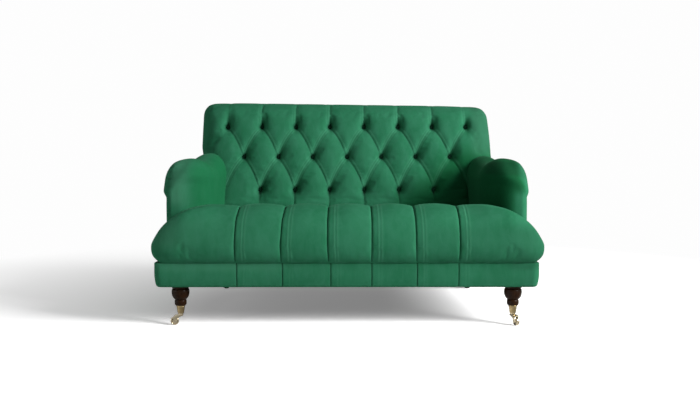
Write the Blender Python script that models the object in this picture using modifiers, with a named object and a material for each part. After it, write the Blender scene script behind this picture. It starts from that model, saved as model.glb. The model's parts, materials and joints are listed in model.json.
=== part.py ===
"""Two-seat sofa with a deep-buttoned back, low rolled arms, turned front legs and brass castors.

Metres, +Z up, +Y towards the back of the sofa. The origin is on the floor, at the middle of the
sofa's width and depth.
"""

import math

import bmesh
import bpy
from mathutils import Vector

# Clearances
TOUCH = 0.0003
RUNNING_GAP = 0.0004
OVERRUN = 0.03
MERGE = 0.00005

# Base: the upholstered border and the rails inside it
BASE_FRONT_Y = -0.454
BASE_DEPTH = 0.855
BASE_FRONT_HALF_WIDTH = 0.7475
BASE_NARROWING = 0.0625
BASE_CLEARANCE_Z = 0.154
BASE_HEIGHT = 0.095
BORDER_THICK = 0.022
BORDER_CORNER_RADIUS = 0.030
BORDER_EDGE_RADIUS = 0.010
BORDER_CORNER_STEPS = 4
COVER_THICK = 0.002
COVER_RECESS = 0.001
RAIL_THICK = 0.045
DECK_THICK = 0.005
WEB_THICK = 0.002
WEB_WIDTH = 0.080
WEB_GAP = 0.250
WEB_COUNT = 3
TIMBER_CHAMFER = 0.003
TIMBER_CHAMFER_STEPS = 1

# Seat cushion
SEAT_SIDE_OVERHANG = 0.0225
SEAT_FRONT_OVERHANG = 0.025
SEAT_HEIGHT = 0.213
SEAT_SLOPE = 0.105
SEAT_FRONT_ROLL_Y = 0.135
SEAT_FRONT_ROLL_Z = 0.140
SEAT_TUCK_Z = 0.050
SEAT_END_ROLL_X = 0.190
SEAT_END_TUCK_X = 0.020
SEAT_REAR_ROLL = 0.030
SEAT_PLEATS = 6
SEAT_END_WIDTH = 0.33625
SEAT_FAN_SHARE = 0.899
SEAT_PLEAT_DEPTH = 0.012
SEAT_PLEAT_REACH = 0.014
SEAT_FLUTE_RISE = 0.008

# Back cushion
BACK_SIDE_SETBACK = 0.032
BACK_TOP_Z = 0.873
BACK_FACE_Y = 0.099
BACK_FACE_RAKE_DEG = 22.0
BACK_OUTER_RAKE_DEG = 8.0
BACK_SIDE_WALL = 0.030
BACK_TOP_WALL = 0.033
BACK_END_ROLL = 0.055
BACK_END_ROLL_BEHIND_ARM = 0.012
BACK_TOP_ROLL = 0.055
BACK_FACE_EASE = 0.003
BACK_END_WIDTH = 0.114
BUTTON_ROW_SHARES = (0.0803, 0.4307, 0.7543)
BUTTONS_IN_LOWEST_ROW = 6
TUFT_DEPTH = 0.038
TUFT_WELL_RADIUS = 0.034
TUFT_PLEAT_SHARE = 0.45
TUFT_TOP_SHARE = 0.5
BUTTON_RADIUS = 0.0105
BUTTON_RIM = 0.003
BUTTON_HEIGHT = 0.007
BUTTON_SIDES = 8
BUTTON_SEAT_REACH = 0.0190

# Back frame
POST_DEPTH = 0.045
POST_WIDTH = 0.038
TOP_RAIL_HEIGHT = 0.040
TUCK_RAIL_Z = 0.400
TUCK_RAIL_HEIGHT = 0.040

# Arms
ARM_SETBACK = 0.180
ARM_WIDTH = 0.185
ARM_TOP_Z = 0.651
ARM_NOSE_ROLL_Y = 0.110
ARM_TOP_ROLL_Z = 0.085
ARM_DIP = 0.015
ARM_REAR_RISE = 0.012
ARM_ROLL_EDGE_Z = 0.502
ARM_OVERHANG = 0.014
ARM_NOSE_THICK = 0.050
ARM_PANEL_THICK = 0.016
ARM_BOARD_WIDTH = 0.045
ARM_BOARD_THICK = 0.025
ARM_BOARD_INSET = 0.050
ARM_STUMP_WIDTH = 0.040
ARM_STUMP_DEPTH = 0.042
ARM_SHELL_INSET = 0.072

# Turned front legs
FRONT_LEG_INSET = 0.0975
FRONT_LEG_SETBACK = 0.060
FRONT_LEG_RADIUS = 0.0345
FRONT_LEG_OUTLINE_SHARES = (
    (0.97, 1.000), (0.98, 0.950), (0.96, 0.900), (0.87, 0.880), (0.87, 0.860),
    (0.96, 0.830), (1.00, 0.740), (1.00, 0.620), (0.95, 0.500), (0.85, 0.400),
    (0.71, 0.325), (0.62, 0.290), (0.62, 0.272), (0.66, 0.250), (0.68, 0.155),
    (0.66, 0.050), (0.60, 0.000),
)
TURNING_STEPS = 20

# Castors
CUP_TOP_Z = 0.0775
CUP_HEIGHT = 0.0330
CUP_TOP_RADIUS = 0.0175
CUP_BOTTOM_RADIUS = 0.0120
CUP_WALL = 0.0015
CUP_FLOOR = 0.0030
CUP_RIM = 0.0010
PIVOT_RADIUS = 0.0030
PIVOT_HEAD_RADIUS = 0.0095
PIVOT_HEAD_HEIGHT = 0.0060
WHEEL_RADIUS = 0.0165
WHEEL_WIDTH = 0.0125
WHEEL_EDGE = 0.0030
WHEEL_SIDE_GAP = 0.0005
WHEEL_TOP_GAP = 0.0015
CASTOR_TRAIL = 0.0240
CHEEK_THICK = 0.0030
CHEEK_END_RADIUS = 0.0065
HORN_UPPER_SHARES = (
    (-0.36, 0.86), (-0.34, 1.00), (0.45, 1.00), (0.75, 0.95), (1.00, 0.83), (1.20, 0.62), (1.29, 0.36),
)
HORN_LOWER_SHARES = (
    (0.66, 0.30), (0.50, 0.46), (0.28, 0.58), (0.00, 0.70), (-0.22, 0.76),
)
AXLE_RADIUS = 0.0020
AXLE_HEAD_RADIUS = 0.0034
AXLE_HEAD_THICK = 0.0010
CASTOR_STEPS = 20
LEFT_CASTOR_HEADING_DEG = 195.0
RIGHT_CASTOR_HEADING_DEG = -65.0

# Raked rear legs
REAR_LEG_SIDE_INSET = 0.087
REAR_LEG_SPLAY = 0.018
REAR_LEG_TOP_SIZE = 0.048
REAR_LEG_FOOT_SIZE = 0.032
REAR_LEG_INSET = 0.045
REAR_LEG_KICK = 0.117
REAR_LEG_SWEEP_SHARE = 1.25
REAR_LEG_RINGS = 5
GLIDE_RADIUS = 0.0110
GLIDE_THICK = 0.0050
LEG_EDGE = 0.003

# Heights and planes that follow from the sizes above
BASE_REAR_Y = BASE_FRONT_Y + BASE_DEPTH
BASE_REAR_HALF_WIDTH = BASE_FRONT_HALF_WIDTH - BASE_NARROWING
SEAM_Z = BASE_CLEARANCE_Z + BASE_HEIGHT
COVER_Z = BASE_CLEARANCE_Z + COVER_RECESS
RAIL_BOTTOM_Z = COVER_Z + COVER_THICK + TOUCH
DECK_BOTTOM_Z = SEAM_Z - DECK_THICK
WEB_TOP_Z = DECK_BOTTOM_Z - TOUCH
RAIL_TOP_Z = WEB_TOP_Z - WEB_THICK - TOUCH
CUSHION_BOTTOM_Z = SEAM_Z + TOUCH
LEG_TOP_Z = COVER_Z - TOUCH
TAPER = BASE_NARROWING / BASE_DEPTH
TAPER_STRETCH = math.hypot(1.0, TAPER)
FACE_SLOPE = math.tan(math.radians(BACK_FACE_RAKE_DEG))
OUTER_SLOPE = math.tan(math.radians(BACK_OUTER_RAKE_DEG))
SEAT_HALF_WIDTH = BASE_FRONT_HALF_WIDTH + SEAT_SIDE_OVERHANG
SEAT_FRONT_Y = BASE_FRONT_Y - SEAT_FRONT_OVERHANG
SEAT_TOP_Z = SEAM_Z + SEAT_HEIGHT
SEAT_DEPTH = BACK_FACE_Y - SEAT_FRONT_Y
FLUTE_WIDTH = 2 * (SEAT_HALF_WIDTH - SEAT_END_WIDTH) / (SEAT_PLEATS - 1)
FLUTE_REAR_WIDTH = FLUTE_WIDTH * SEAT_FAN_SHARE
BACK_HALF_WIDTH = BASE_REAR_HALF_WIDTH - BACK_SIDE_SETBACK
DIAMOND_WIDTH = 2 * (BACK_HALF_WIDTH - BACK_END_WIDTH) / (BUTTONS_IN_LOWEST_ROW + 1)
BUTTON_ROW_Z = [SEAT_TOP_Z + share * (BACK_TOP_Z - SEAT_TOP_Z) for share in BUTTON_ROW_SHARES]
FRONT_LEG_X = BASE_FRONT_HALF_WIDTH - FRONT_LEG_INSET
FRONT_LEG_Y = BASE_FRONT_Y + FRONT_LEG_SETBACK
REAR_LEG_X = BASE_REAR_HALF_WIDTH - REAR_LEG_SIDE_INSET
REAR_LEG_FOOT_X = REAR_LEG_X - REAR_LEG_SPLAY
CUP_BOTTOM_Z = CUP_TOP_Z - CUP_HEIGHT
ARM_FRONT_Y = BASE_FRONT_Y + ARM_SETBACK
ARM_LENGTH = BASE_REAR_Y - ARM_FRONT_Y
STUMP_FRONT_Y = ARM_FRONT_Y + ARM_NOSE_THICK
TOP_RAIL_TOP_Z = BACK_TOP_Z - BACK_TOP_WALL - TOUCH
POST_TOP_Z = TOP_RAIL_TOP_Z - TOP_RAIL_HEIGHT - TOUCH
FRAME_HALF_WIDTH = BACK_HALF_WIDTH - BACK_SIDE_WALL
POST_OUTER_X = FRAME_HALF_WIDTH - TOUCH
POST_INNER_X = POST_OUTER_X - POST_WIDTH
POST_FOOT_FRONT_Y = BASE_REAR_Y - BORDER_THICK - TOUCH - POST_DEPTH
LEFT = -1.0
RIGHT = 1.0
SIDES = (("left", LEFT), ("right", RIGHT))

# Finishes: colour, roughness, metallic
VELVET = ((0.028, 0.172, 0.090, 1.0), 0.85, 0.0)
BUTTON_VELVET = ((0.014, 0.105, 0.052, 1.0), 0.85, 0.0)
CAMBRIC = ((0.020, 0.020, 0.022, 1.0), 0.95, 0.0)
HESSIAN = ((0.330, 0.235, 0.130, 1.0), 0.95, 0.0)
BEECH = ((0.520, 0.340, 0.180, 1.0), 0.60, 0.0)
DARK_WOOD = ((0.018, 0.009, 0.005, 1.0), 0.35, 0.0)
BRASS = ((0.560, 0.430, 0.210, 1.0), 0.30, 1.0)
NYLON = ((0.050, 0.050, 0.050, 1.0), 0.60, 0.0)


def mix(start, end, share):
    """The value that lies at this share of the way from start to end."""
    return start + (end - start) * share


def clamp(value, low=0.0, high=1.0):
    """The value, kept between low and high."""
    return max(low, min(high, value))


def smooth_step(value):
    """A share that eases out of 0 and into 1."""
    share = clamp(value)
    return share * share * (3.0 - 2.0 * share)


def half_width(y, inset=0.0):
    """Half the tapered base's width at y, less an inset measured square to its side."""
    return BASE_FRONT_HALF_WIDTH - TAPER * (y - BASE_FRONT_Y) - inset * TAPER_STRETCH


def back_face_y(z):
    """The raked plane that the front of the back cushion stays behind."""
    return BACK_FACE_Y + FACE_SLOPE * (z - SEAT_TOP_Z)


def back_outer_y(z):
    """The outside of the back: upright in the base, raked above it."""
    return BASE_REAR_Y + OUTER_SLOPE * max(z - SEAM_Z, 0.0)


def post_rear_y(z):
    """The back of the back frame's timber, just inside the outer panel."""
    return back_outer_y(z) - BORDER_THICK - TOUCH


def post_front_y(z):
    """The front of the back frame's timber."""
    return post_rear_y(z) - POST_DEPTH


def finish_object(name, mesh, finish):
    """Puts a finished mesh into the scene under its name, with a material of its own."""
    obj = bpy.data.objects.new(name, mesh)
    parts.objects.link(obj)
    material = bpy.data.materials.new(name + "_finish")
    material.use_nodes = True
    colour, roughness, metallic = finish
    shader = material.node_tree.nodes["Principled BSDF"]
    shader.inputs["Base Color"].default_value = colour
    shader.inputs["Roughness"].default_value = roughness
    shader.inputs["Metallic"].default_value = metallic
    material.diffuse_color = colour
    mesh.materials.append(material)
    return obj


def add_bevel(obj, width, steps):
    """Rounds the sharp edges of an object."""
    bevel = obj.modifiers.new("edges", "BEVEL")
    bevel.width = width
    bevel.segments = steps
    bevel.limit_method = "ANGLE"
    return bevel


def cut(obj, cutter):
    """Takes a cutter's shape out of an object."""
    boolean = obj.modifiers.new("cut_" + cutter.name, "BOOLEAN")
    boolean.operation = "DIFFERENCE"
    boolean.object = cutter
    boolean.solver = "EXACT"


def join(obj, addition):
    """Makes an object and an addition one body."""
    boolean = obj.modifiers.new("join_" + addition.name, "BOOLEAN")
    boolean.operation = "UNION"
    boolean.object = addition
    boolean.solver = "EXACT"


def as_guide(obj):
    """Moves an object to the cutters' collection, where it isn't part of the sofa."""
    parts.objects.unlink(obj)
    cutters.objects.link(obj)
    obj.hide_render = True
    obj.display_type = "WIRE"
    return obj


def gridded_mesh(name, xs, ys, zs, shape):
    """A box with a grid line at each given place, whose points are then moved by a shape function."""
    bm = bmesh.new()
    bmesh.ops.create_cube(bm, size=1.0)
    places = (xs, ys, zs)
    for axis, values in enumerate(places):
        others = [i for i in range(3) if i != axis]
        along = [
            edge
            for edge in bm.edges
            if all(abs(edge.verts[0].co[i] - edge.verts[1].co[i]) < MERGE for i in others)
        ]
        cuts = len(values) - 2
        if cuts > 0:
            bmesh.ops.subdivide_edges(bm, edges=along, cuts=cuts, use_grid_fill=True)
    for vert in bm.verts:
        steps = [round((vert.co[i] + 0.5) * (len(places[i]) - 1)) for i in range(3)]
        vert.co = shape(*(places[i][steps[i]] for i in range(3)))
    if bm.calc_volume(signed=True) < 0:
        bmesh.ops.reverse_faces(bm, faces=bm.faces)
    mesh = bpy.data.meshes.new(name)
    bm.to_mesh(mesh)
    bm.free()
    return mesh


def dissolve_flat(mesh):
    """Merges the faces that lie in one plane."""
    bm = bmesh.new()
    bm.from_mesh(mesh)
    bmesh.ops.dissolve_limit(bm, angle_limit=math.radians(0.02), verts=bm.verts, edges=bm.edges)
    bm.to_mesh(mesh)
    bm.free()


def timber(name, x_range, y_range, z_levels, finish=BEECH, slices=1):
    """A bar of the frame whose four sides are given as values or as functions of y or z."""

    def at(limit, *place):
        return limit(*place) if callable(limit) else limit

    def shape(u, v, z):
        y = mix(at(y_range[0], z), at(y_range[1], z), v)
        return Vector((mix(at(x_range[0], y), at(x_range[1], y), u), y, z))

    along = [i / slices for i in range(slices + 1)]
    obj = finish_object(name, gridded_mesh(name, (0.0, 1.0), along, z_levels, shape), finish)
    add_bevel(obj, TIMBER_CHAMFER, TIMBER_CHAMFER_STEPS)
    return obj


def slab(name, x_range, y_range, z_range, finish):
    """A thin flat piece, whose sides may be functions of y or z."""
    obj = timber(name, x_range, y_range, z_range, finish)
    obj.modifiers.clear()
    return obj


def turned(name, profile, finish, steps, closed=False):
    """A piece turned about its own Z axis from radius and height pairs, outer side downwards."""
    mesh = bpy.data.meshes.new(name)
    edges = [(i, i + 1) for i in range(len(profile) - 1)]
    if closed:
        edges.append((len(profile) - 1, 0))
    mesh.from_pydata([(radius, 0.0, z) for radius, z in profile], edges, [])
    obj = finish_object(name, mesh, finish)
    screw = obj.modifiers.new("turning", "SCREW")
    screw.axis = "Z"
    screw.steps = steps
    screw.render_steps = steps
    screw.use_merge_vertices = True
    screw.merge_threshold = MERGE
    return obj


def arc(centre, radii, start_deg, end_deg, steps):
    """Points on an ellipse from one angle to the other."""
    points = []
    for i in range(steps + 1):
        angle = math.radians(mix(start_deg, end_deg, i / steps))
        points.append((centre[0] + radii[0] * math.cos(angle), centre[1] + radii[1] * math.sin(angle)))
    return points


def plate(name, outline, thickness, finish):
    """A flat outline with a thickness, centred on its own XY plane."""
    curve = bpy.data.curves.new(name, "CURVE")
    curve.dimensions = "2D"
    curve.fill_mode = "BOTH"
    curve.extrude = thickness / 2
    spline = curve.splines.new("POLY")
    spline.points.add(len(outline) - 1)
    for point, (x, y) in zip(spline.points, outline):
        point.co = (x, y, 0.0, 1.0)
    spline.use_cyclic_u = True
    outline_object = bpy.data.objects.new(name + "_outline", curve)
    parts.objects.link(outline_object)
    depsgraph = bpy.context.evaluated_depsgraph_get()
    mesh = bpy.data.meshes.new_from_object(outline_object.evaluated_get(depsgraph))
    bpy.data.objects.remove(outline_object)
    bm = bmesh.new()
    bm.from_mesh(mesh)
    bmesh.ops.remove_doubles(bm, verts=bm.verts, dist=MERGE)
    bmesh.ops.recalc_face_normals(bm, faces=bm.faces)
    bm.to_mesh(mesh)
    bm.free()
    mesh.name = name
    mesh.materials.clear()
    return finish_object(name, mesh, finish)


def roll_shares(steps):
    """Shares of a rounded edge's depth that split its near half into equal angles."""
    return [math.tan(math.radians(45.0) * i / steps) for i in range(1, steps + 1)]


def roll_places(inner, outer, steps):
    """Grid lines from the start of a rounded edge, not included, to its outer side."""
    return [mix(inner, outer, share) for share in roll_shares(steps)]


def rounded(point, low, high, low_rolls, high_rolls):
    """Moves a point of a box's surface to the box's rounded surface; also gives its outward direction."""
    centre = []
    rolls = []
    lean = []
    for i in range(3):
        inner_low = low[i] + low_rolls[i]
        inner_high = high[i] - high_rolls[i]
        nearest = clamp(point[i], inner_low, inner_high)
        roll = low_rolls[i] if point[i] < nearest else high_rolls[i]
        centre.append(nearest)
        rolls.append(roll)
        lean.append((point[i] - nearest) / roll if roll else 0.0)
    out = Vector(lean)
    largest = max(abs(value) for value in out)
    if out.length:
        out = out * (largest / out.length)
    place = Vector([centre[i] + out[i] * rolls[i] for i in range(3)])
    return place, out


def base_outline(inset=0.0):
    """The base's rounded outline seen from above, counter-clockwise."""
    radius = BORDER_CORNER_RADIUS - inset
    front = BASE_FRONT_Y + BORDER_CORNER_RADIUS
    rear = BASE_REAR_Y - BORDER_CORNER_RADIUS
    points = []
    for side, centre_y, start in ((RIGHT, front, -90), (RIGHT, rear, 0), (LEFT, rear, 90), (LEFT, front, 180)):
        centre = (side * half_width(centre_y, BORDER_CORNER_RADIUS), centre_y)
        points += arc(centre, (radius, radius), start, start + 90, BORDER_CORNER_STEPS)
    return points


def make_base_border():
    """The padded band round the foot of the sofa, from the dust cover up to the seat's seam."""
    bm = bmesh.new()
    outline = base_outline()
    lower, upper = [[bm.verts.new((x, y, z)) for x, y in outline] for z in (BASE_CLEARANCE_Z, SEAM_Z)]
    for i, start in enumerate(lower):
        after = (i + 1) % len(lower)
        bm.faces.new((start, lower[after], upper[after], upper[i]))
    mesh = bpy.data.meshes.new("base_border")
    bm.to_mesh(mesh)
    bm.free()
    obj = finish_object("base_border", mesh, VELVET)
    wall = obj.modifiers.new("wall", "SOLIDIFY")
    wall.thickness = BORDER_THICK
    wall.offset = -1.0
    wall.use_even_offset = True
    edges = add_bevel(obj, BORDER_EDGE_RADIUS, 2)
    edges.angle_limit = math.radians(60.0)


def side_line(side, inset):
    """A line along one side of the tapered base, as a function of y."""
    return lambda y: side * half_width(y, inset)


def across_base(inset):
    """The two side lines of a piece that reaches across the base."""
    return side_line(LEFT, inset), side_line(RIGHT, inset)


def make_base_frame():
    """The rails of the seat, the dust cover below them, and the webbing and deck above."""
    z_levels = (RAIL_BOTTOM_Z, RAIL_TOP_Z)
    inner_corner = BORDER_CORNER_RADIUS + TOUCH
    front_y = BASE_FRONT_Y + BORDER_THICK + TOUCH
    rear_y = BASE_REAR_Y - BORDER_THICK - TOUCH
    side_y = (front_y + RAIL_THICK + TOUCH, POST_FOOT_FRONT_Y - TOUCH)
    timber("front_rail", across_base(inner_corner), (front_y, front_y + RAIL_THICK), z_levels)
    timber("rear_rail", (TOUCH - POST_INNER_X, POST_INNER_X - TOUCH), (rear_y - RAIL_THICK, rear_y), z_levels)
    for word, side in SIDES:
        outer = BORDER_THICK + TOUCH
        timber("side_rail_" + word, (side_line(side, outer), side_line(side, outer + RAIL_THICK)),
               side_y, z_levels)
    cover_y = (BASE_FRONT_Y + inner_corner, BASE_REAR_Y - inner_corner)
    slab("dust_cover", across_base(inner_corner), cover_y, (COVER_Z, COVER_Z + COVER_THICK), CAMBRIC)
    web_y = (front_y + RAIL_THICK / 3, rear_y - RAIL_THICK / 3)
    for number in range(1, WEB_COUNT + 1):
        middle = (number - (WEB_COUNT + 1) / 2) * (WEB_WIDTH + WEB_GAP)
        slab("seat_webbing_%d" % number, (middle - WEB_WIDTH / 2, middle + WEB_WIDTH / 2), web_y,
             (WEB_TOP_Z - WEB_THICK, WEB_TOP_Z), HESSIAN)
    deck_y = (front_y + TOUCH, POST_FOOT_FRONT_Y - TOUCH)
    slab("seat_deck", across_base(ARM_SHELL_INSET + TOUCH), deck_y, (DECK_BOTTOM_Z, SEAM_Z), HESSIAN)


def flute(x, y):
    """How far the seat's surface stands above its plain form, pleats at the lowest, flutes at the highest."""
    width = mix(FLUTE_WIDTH, FLUTE_REAR_WIDTH, clamp((y - SEAT_FRONT_Y) / SEAT_DEPTH))
    outermost = (SEAT_PLEATS - 1) / 2 * width
    past = abs(x) - outermost
    from_pleat = past if past > 0 else abs((past / width) - round(past / width)) * width
    groove = SEAT_PLEAT_DEPTH * (1.0 - smooth_step(from_pleat / SEAT_PLEAT_REACH))
    rise = SEAT_FLUTE_RISE * math.sin(math.pi * clamp(from_pleat / width)) * (past < width)
    return rise - groove


def arm_inner_x(y):
    """Where the inner face of an arm stands at y."""
    return half_width(y) + ARM_OVERHANG - ARM_WIDTH


def seat_columns():
    """Grid lines across the seat: three at each pleat, one on each flute, and five on each end."""
    columns = []
    for i in range(SEAT_PLEATS):
        middle = (i - (SEAT_PLEATS - 1) / 2) * FLUTE_WIDTH
        columns += [middle - SEAT_PLEAT_REACH, middle, middle + SEAT_PLEAT_REACH]
        if i < SEAT_PLEATS - 1:
            columns.append(middle + FLUTE_WIDTH / 2)
    end_inner = SEAT_HALF_WIDTH - SEAT_END_ROLL_X
    end = [mix(columns[-1], end_inner, 0.5), end_inner, *roll_places(end_inner, SEAT_HALF_WIDTH, 3)]
    return [-x for x in reversed(end)] + columns + end


def make_seat_cushion():
    """The T-shaped sprung seat, fluted by six pleats that run over its crown to the back."""
    low = (-SEAT_HALF_WIDTH, SEAT_FRONT_Y, CUSHION_BOTTOM_Z)
    high = (SEAT_HALF_WIDTH, BACK_FACE_Y, SEAT_TOP_Z)
    xs = seat_columns()
    last_pleat = (SEAT_PLEATS - 1) / 2 * FLUTE_WIDTH + SEAT_PLEAT_REACH
    front_inner = SEAT_FRONT_Y + SEAT_FRONT_ROLL_Y
    ear_rear = ARM_FRONT_Y - 2 * TOUCH
    ys = [*reversed(roll_places(front_inner, SEAT_FRONT_Y, 3)), front_inner, ear_rear, ear_rear + TOUCH]
    ys += [mix(ear_rear, BACK_FACE_Y, 0.35), mix(ear_rear, BACK_FACE_Y, 0.7)]
    ys += [BACK_FACE_Y - SEAT_REAR_ROLL, BACK_FACE_Y]
    tuck_inner = CUSHION_BOTTOM_Z + SEAT_TUCK_Z
    top_inner = SEAT_TOP_Z - SEAT_FRONT_ROLL_Z
    zs = [tuck_inner - SEAT_TUCK_Z * math.sin(math.radians(30 * i)) for i in (3, 2, 1)]
    zs += [tuck_inner, top_inner, *roll_places(top_inner, SEAT_TOP_Z, 3)]

    def shape(x, y, z):
        in_front = y <= ear_rear
        end_roll = SEAT_END_ROLL_X * in_front
        place, out = rounded((x, y, max(z, tuck_inner)), low, high, (end_roll, SEAT_FRONT_ROLL_Y, 0.0),
                             (end_roll, SEAT_REAR_ROLL, SEAT_FRONT_ROLL_Z))
        if z < tuck_inner:
            level = (tuck_inner - z) / SEAT_TUCK_Z
            pull = 1.0 - math.sqrt(max(1.0 - level * level, 0.0))
            place.x -= pull * out.x * SEAT_END_TUCK_X
            place.y -= pull * min(out.y, 0.0) * SEAT_FRONT_OVERHANG
            place.z = z
        past = clamp((place.y - SEAT_FRONT_Y) / SEAT_DEPTH)
        if not in_front:
            beyond = (abs(place.x) - last_pleat) / (SEAT_HALF_WIDTH - last_pleat)
            room = arm_inner_x(place.y) - TOUCH
            pleated = last_pleat * mix(1.0, SEAT_FAN_SHARE, past)
            across = mix(pleated, room, beyond) if beyond > 0 else abs(place.x) / last_pleat * pleated
            place.x = math.copysign(across, x)
        shown = smooth_step((place.z - CUSHION_BOTTOM_Z) / SEAT_TUCK_Z)
        stand = flute(place.x, place.y) * shown * (y < BACK_FACE_Y)
        place.y += stand * min(out.y, 0.0)
        place.z += stand * max(out.z, 0.0)
        raised = clamp((place.z - tuck_inner) / (SEAT_TOP_Z - tuck_inner))
        place.z -= SEAT_SLOPE * max(place.y - front_inner, 0.0) * raised
        if not in_front:
            along = (place.y - ear_rear) / (BACK_FACE_Y - ear_rear)
            place.y = mix(ear_rear, back_face_y(place.z) - TOUCH, along)
        return place

    mesh = gridded_mesh("seat_cushion", xs, ys, zs, shape)
    dissolve_flat(mesh)
    finish_object("seat_cushion", mesh, VELVET)


def button_places():
    """Where the buttons lie across and up the back, lowest row first."""
    places = []
    for row, z in enumerate(BUTTON_ROW_Z):
        count = BUTTONS_IN_LOWEST_ROW + row
        places += [((i - (count - 1) / 2) * DIAMOND_WIDTH, z) for i in range(count)]
    return places


def tuft_depth(x, z):
    """How deep the buttoned face lies behind its crests."""
    low, middle, high = BUTTON_ROW_Z
    row = clamp((z - low) / (middle - low)) + clamp((z - middle) / (high - middle))
    across = x / DIAMOND_WIDTH + 0.5
    rising = math.sin(math.pi * (across + row / 2))
    falling = math.sin(math.pi * (across - row / 2))
    puff = math.sqrt(abs(rising * falling))
    outermost = (BUTTONS_IN_LOWEST_ROW - 1 + row) / 2 * DIAMOND_WIDTH
    puff = max(puff, smooth_step((abs(x) - outermost) / (DIAMOND_WIDTH / 2)))
    nearest = min(math.hypot(x - button_x, z - button_z) for button_x, button_z in button_places())
    well = math.exp(-((nearest / TUFT_WELL_RADIUS) ** 2))
    below = smooth_step((z - SEAT_TOP_Z) / TUFT_DEPTH + 1.0)
    return TUFT_DEPTH * (TUFT_PLEAT_SHARE * (1.0 - puff) * below + (1.0 - TUFT_PLEAT_SHARE) * well)


def back_columns():
    """Grid lines across the back: three cells from each button to the next row's, and rounded ends."""
    half_pitches = BUTTONS_IN_LOWEST_ROW + 1
    reach = half_pitches * DIAMOND_WIDTH / 2
    inner = [i * DIAMOND_WIDTH / 6 for i in range(3 * half_pitches + 1)]
    end_inner = BACK_HALF_WIDTH - BACK_END_ROLL
    end = [mix(reach, end_inner, 0.5), end_inner, *roll_places(end_inner, BACK_HALF_WIDTH, 2)]
    right = inner[1:] + end
    return [-x for x in reversed(right)] + [0.0] + right


def make_back_cushion():
    """The deep-buttoned back: diamonds between the buttons, wrapped over the top and round the ends."""
    thick = BACK_TOP_WALL + POST_DEPTH + BORDER_THICK
    low = (-BACK_HALF_WIDTH, 0.0, CUSHION_BOTTOM_Z)
    high = (BACK_HALF_WIDTH, thick, BACK_TOP_Z)
    row_low, row_middle, row_high = BUTTON_ROW_Z
    top_inner = BACK_TOP_Z - BACK_TOP_ROLL
    seat_line = SEAT_TOP_Z - TUFT_DEPTH
    zs = [CUSHION_BOTTOM_Z, seat_line, mix(seat_line, row_low, 0.5)]
    zs += [mix(row_low, row_middle, i / 3) for i in range(3)]
    zs += [mix(row_middle, row_high, i / 3) for i in range(4)]
    zs += [top_inner, *roll_places(top_inner, BACK_TOP_Z, 2)]
    front_roll = thick / 3
    ys = [*reversed(roll_places(front_roll, 0.0, 2)), front_roll, thick - BACK_FACE_EASE - BORDER_THICK, thick]

    def shape(x, y, z):
        above_arm = smooth_step((z - ARM_TOP_Z) / BACK_END_ROLL + 0.5)
        end_roll = mix(BACK_END_ROLL_BEHIND_ARM, BACK_END_ROLL, above_arm)
        place, out = rounded((x, y, z), low, high, (end_roll, front_roll, 0.0),
                             (end_roll, BORDER_THICK, BACK_TOP_ROLL))
        front = back_face_y(place.z) + BACK_FACE_EASE
        fade = clamp(1.0 - place.y / (2 * front_roll))
        world_y = mix(front, back_outer_y(place.z), place.y / thick)
        depth = tuft_depth(place.x, place.z) * fade
        drop = depth * max(out.z, 0.0) * TUFT_TOP_SHARE
        return Vector((place.x, world_y - depth * min(out.y, 0.0), place.z - drop))

    mesh = gridded_mesh("back_cushion", back_columns(), ys, zs, shape)
    dissolve_flat(mesh)
    seat_buttons(mesh)
    obj = finish_object("back_cushion", mesh, VELVET)
    cut(obj, frame_hollow())
    for _, side in SIDES:
        cut(obj, board_slot(side))


def frame_hollow():
    """The room inside the back cushion for its frame and outer panel."""

    def shape(u, v, z):
        front = post_front_y(z) - TOUCH
        return Vector((u * FRAME_HALF_WIDTH, mix(front, back_outer_y(z) + OVERRUN, v), z))

    levels = (CUSHION_BOTTOM_Z - OVERRUN, CUSHION_BOTTOM_Z, TOP_RAIL_TOP_Z + TOUCH)
    mesh = gridded_mesh("frame_hollow", (-1.0, 1.0), (0.0, 1.0), levels, shape)
    return as_guide(finish_object("frame_hollow", mesh, BEECH))


def button_turn():
    """The tilt of a button, whose stem runs square into the raked face."""
    return (math.radians(90.0 - BACK_FACE_RAKE_DEG), 0.0, 0.0)


def button_back(x, z):
    """The place of a button's flat back."""
    floor = Vector((x, back_face_y(z) + BACK_FACE_EASE + TUFT_DEPTH, z))
    return floor + TOUCH * button_outward()


def button_outward():
    """The direction that a button faces."""
    rake = math.radians(BACK_FACE_RAKE_DEG)
    return Vector((0.0, -math.cos(rake), math.sin(rake)))


def seat_buttons(mesh):
    """Flattens the bottom of each well, so that its button has a level seat."""
    bm = bmesh.new()
    bm.from_mesh(mesh)
    for x, z in button_places():
        floor = button_back(x, z) - TOUCH * button_outward()
        tip = min(bm.verts, key=lambda vert: (vert.co - floor).length)
        made = bmesh.ops.bevel(bm, geom=[tip], offset=BUTTON_SEAT_REACH, offset_type="OFFSET",
                               segments=1, affect="VERTICES")
        for vert in made["verts"]:
            level = (vert.co - floor) - (vert.co - floor).dot(button_outward()) * button_outward()
            vert.co = floor + BUTTON_SEAT_REACH * level.normalized()
    bm.to_mesh(mesh)
    bm.free()


def make_buttons():
    """Covered buttons, one in the bottom of each well."""
    dome = arc((0.0, BUTTON_RIM), (BUTTON_RADIUS, BUTTON_HEIGHT - BUTTON_RIM), 90, 0, 3)
    profile = [*dome, (BUTTON_RADIUS, 0.0), (0.0, 0.0)]
    profile[0] = (0.0, BUTTON_HEIGHT)
    for number, (x, z) in enumerate(button_places(), 1):
        obj = turned("back_button_%02d" % number, profile, BUTTON_VELVET, BUTTON_SIDES)
        obj.location = button_back(x, z)
        obj.rotation_euler = button_turn()


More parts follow.
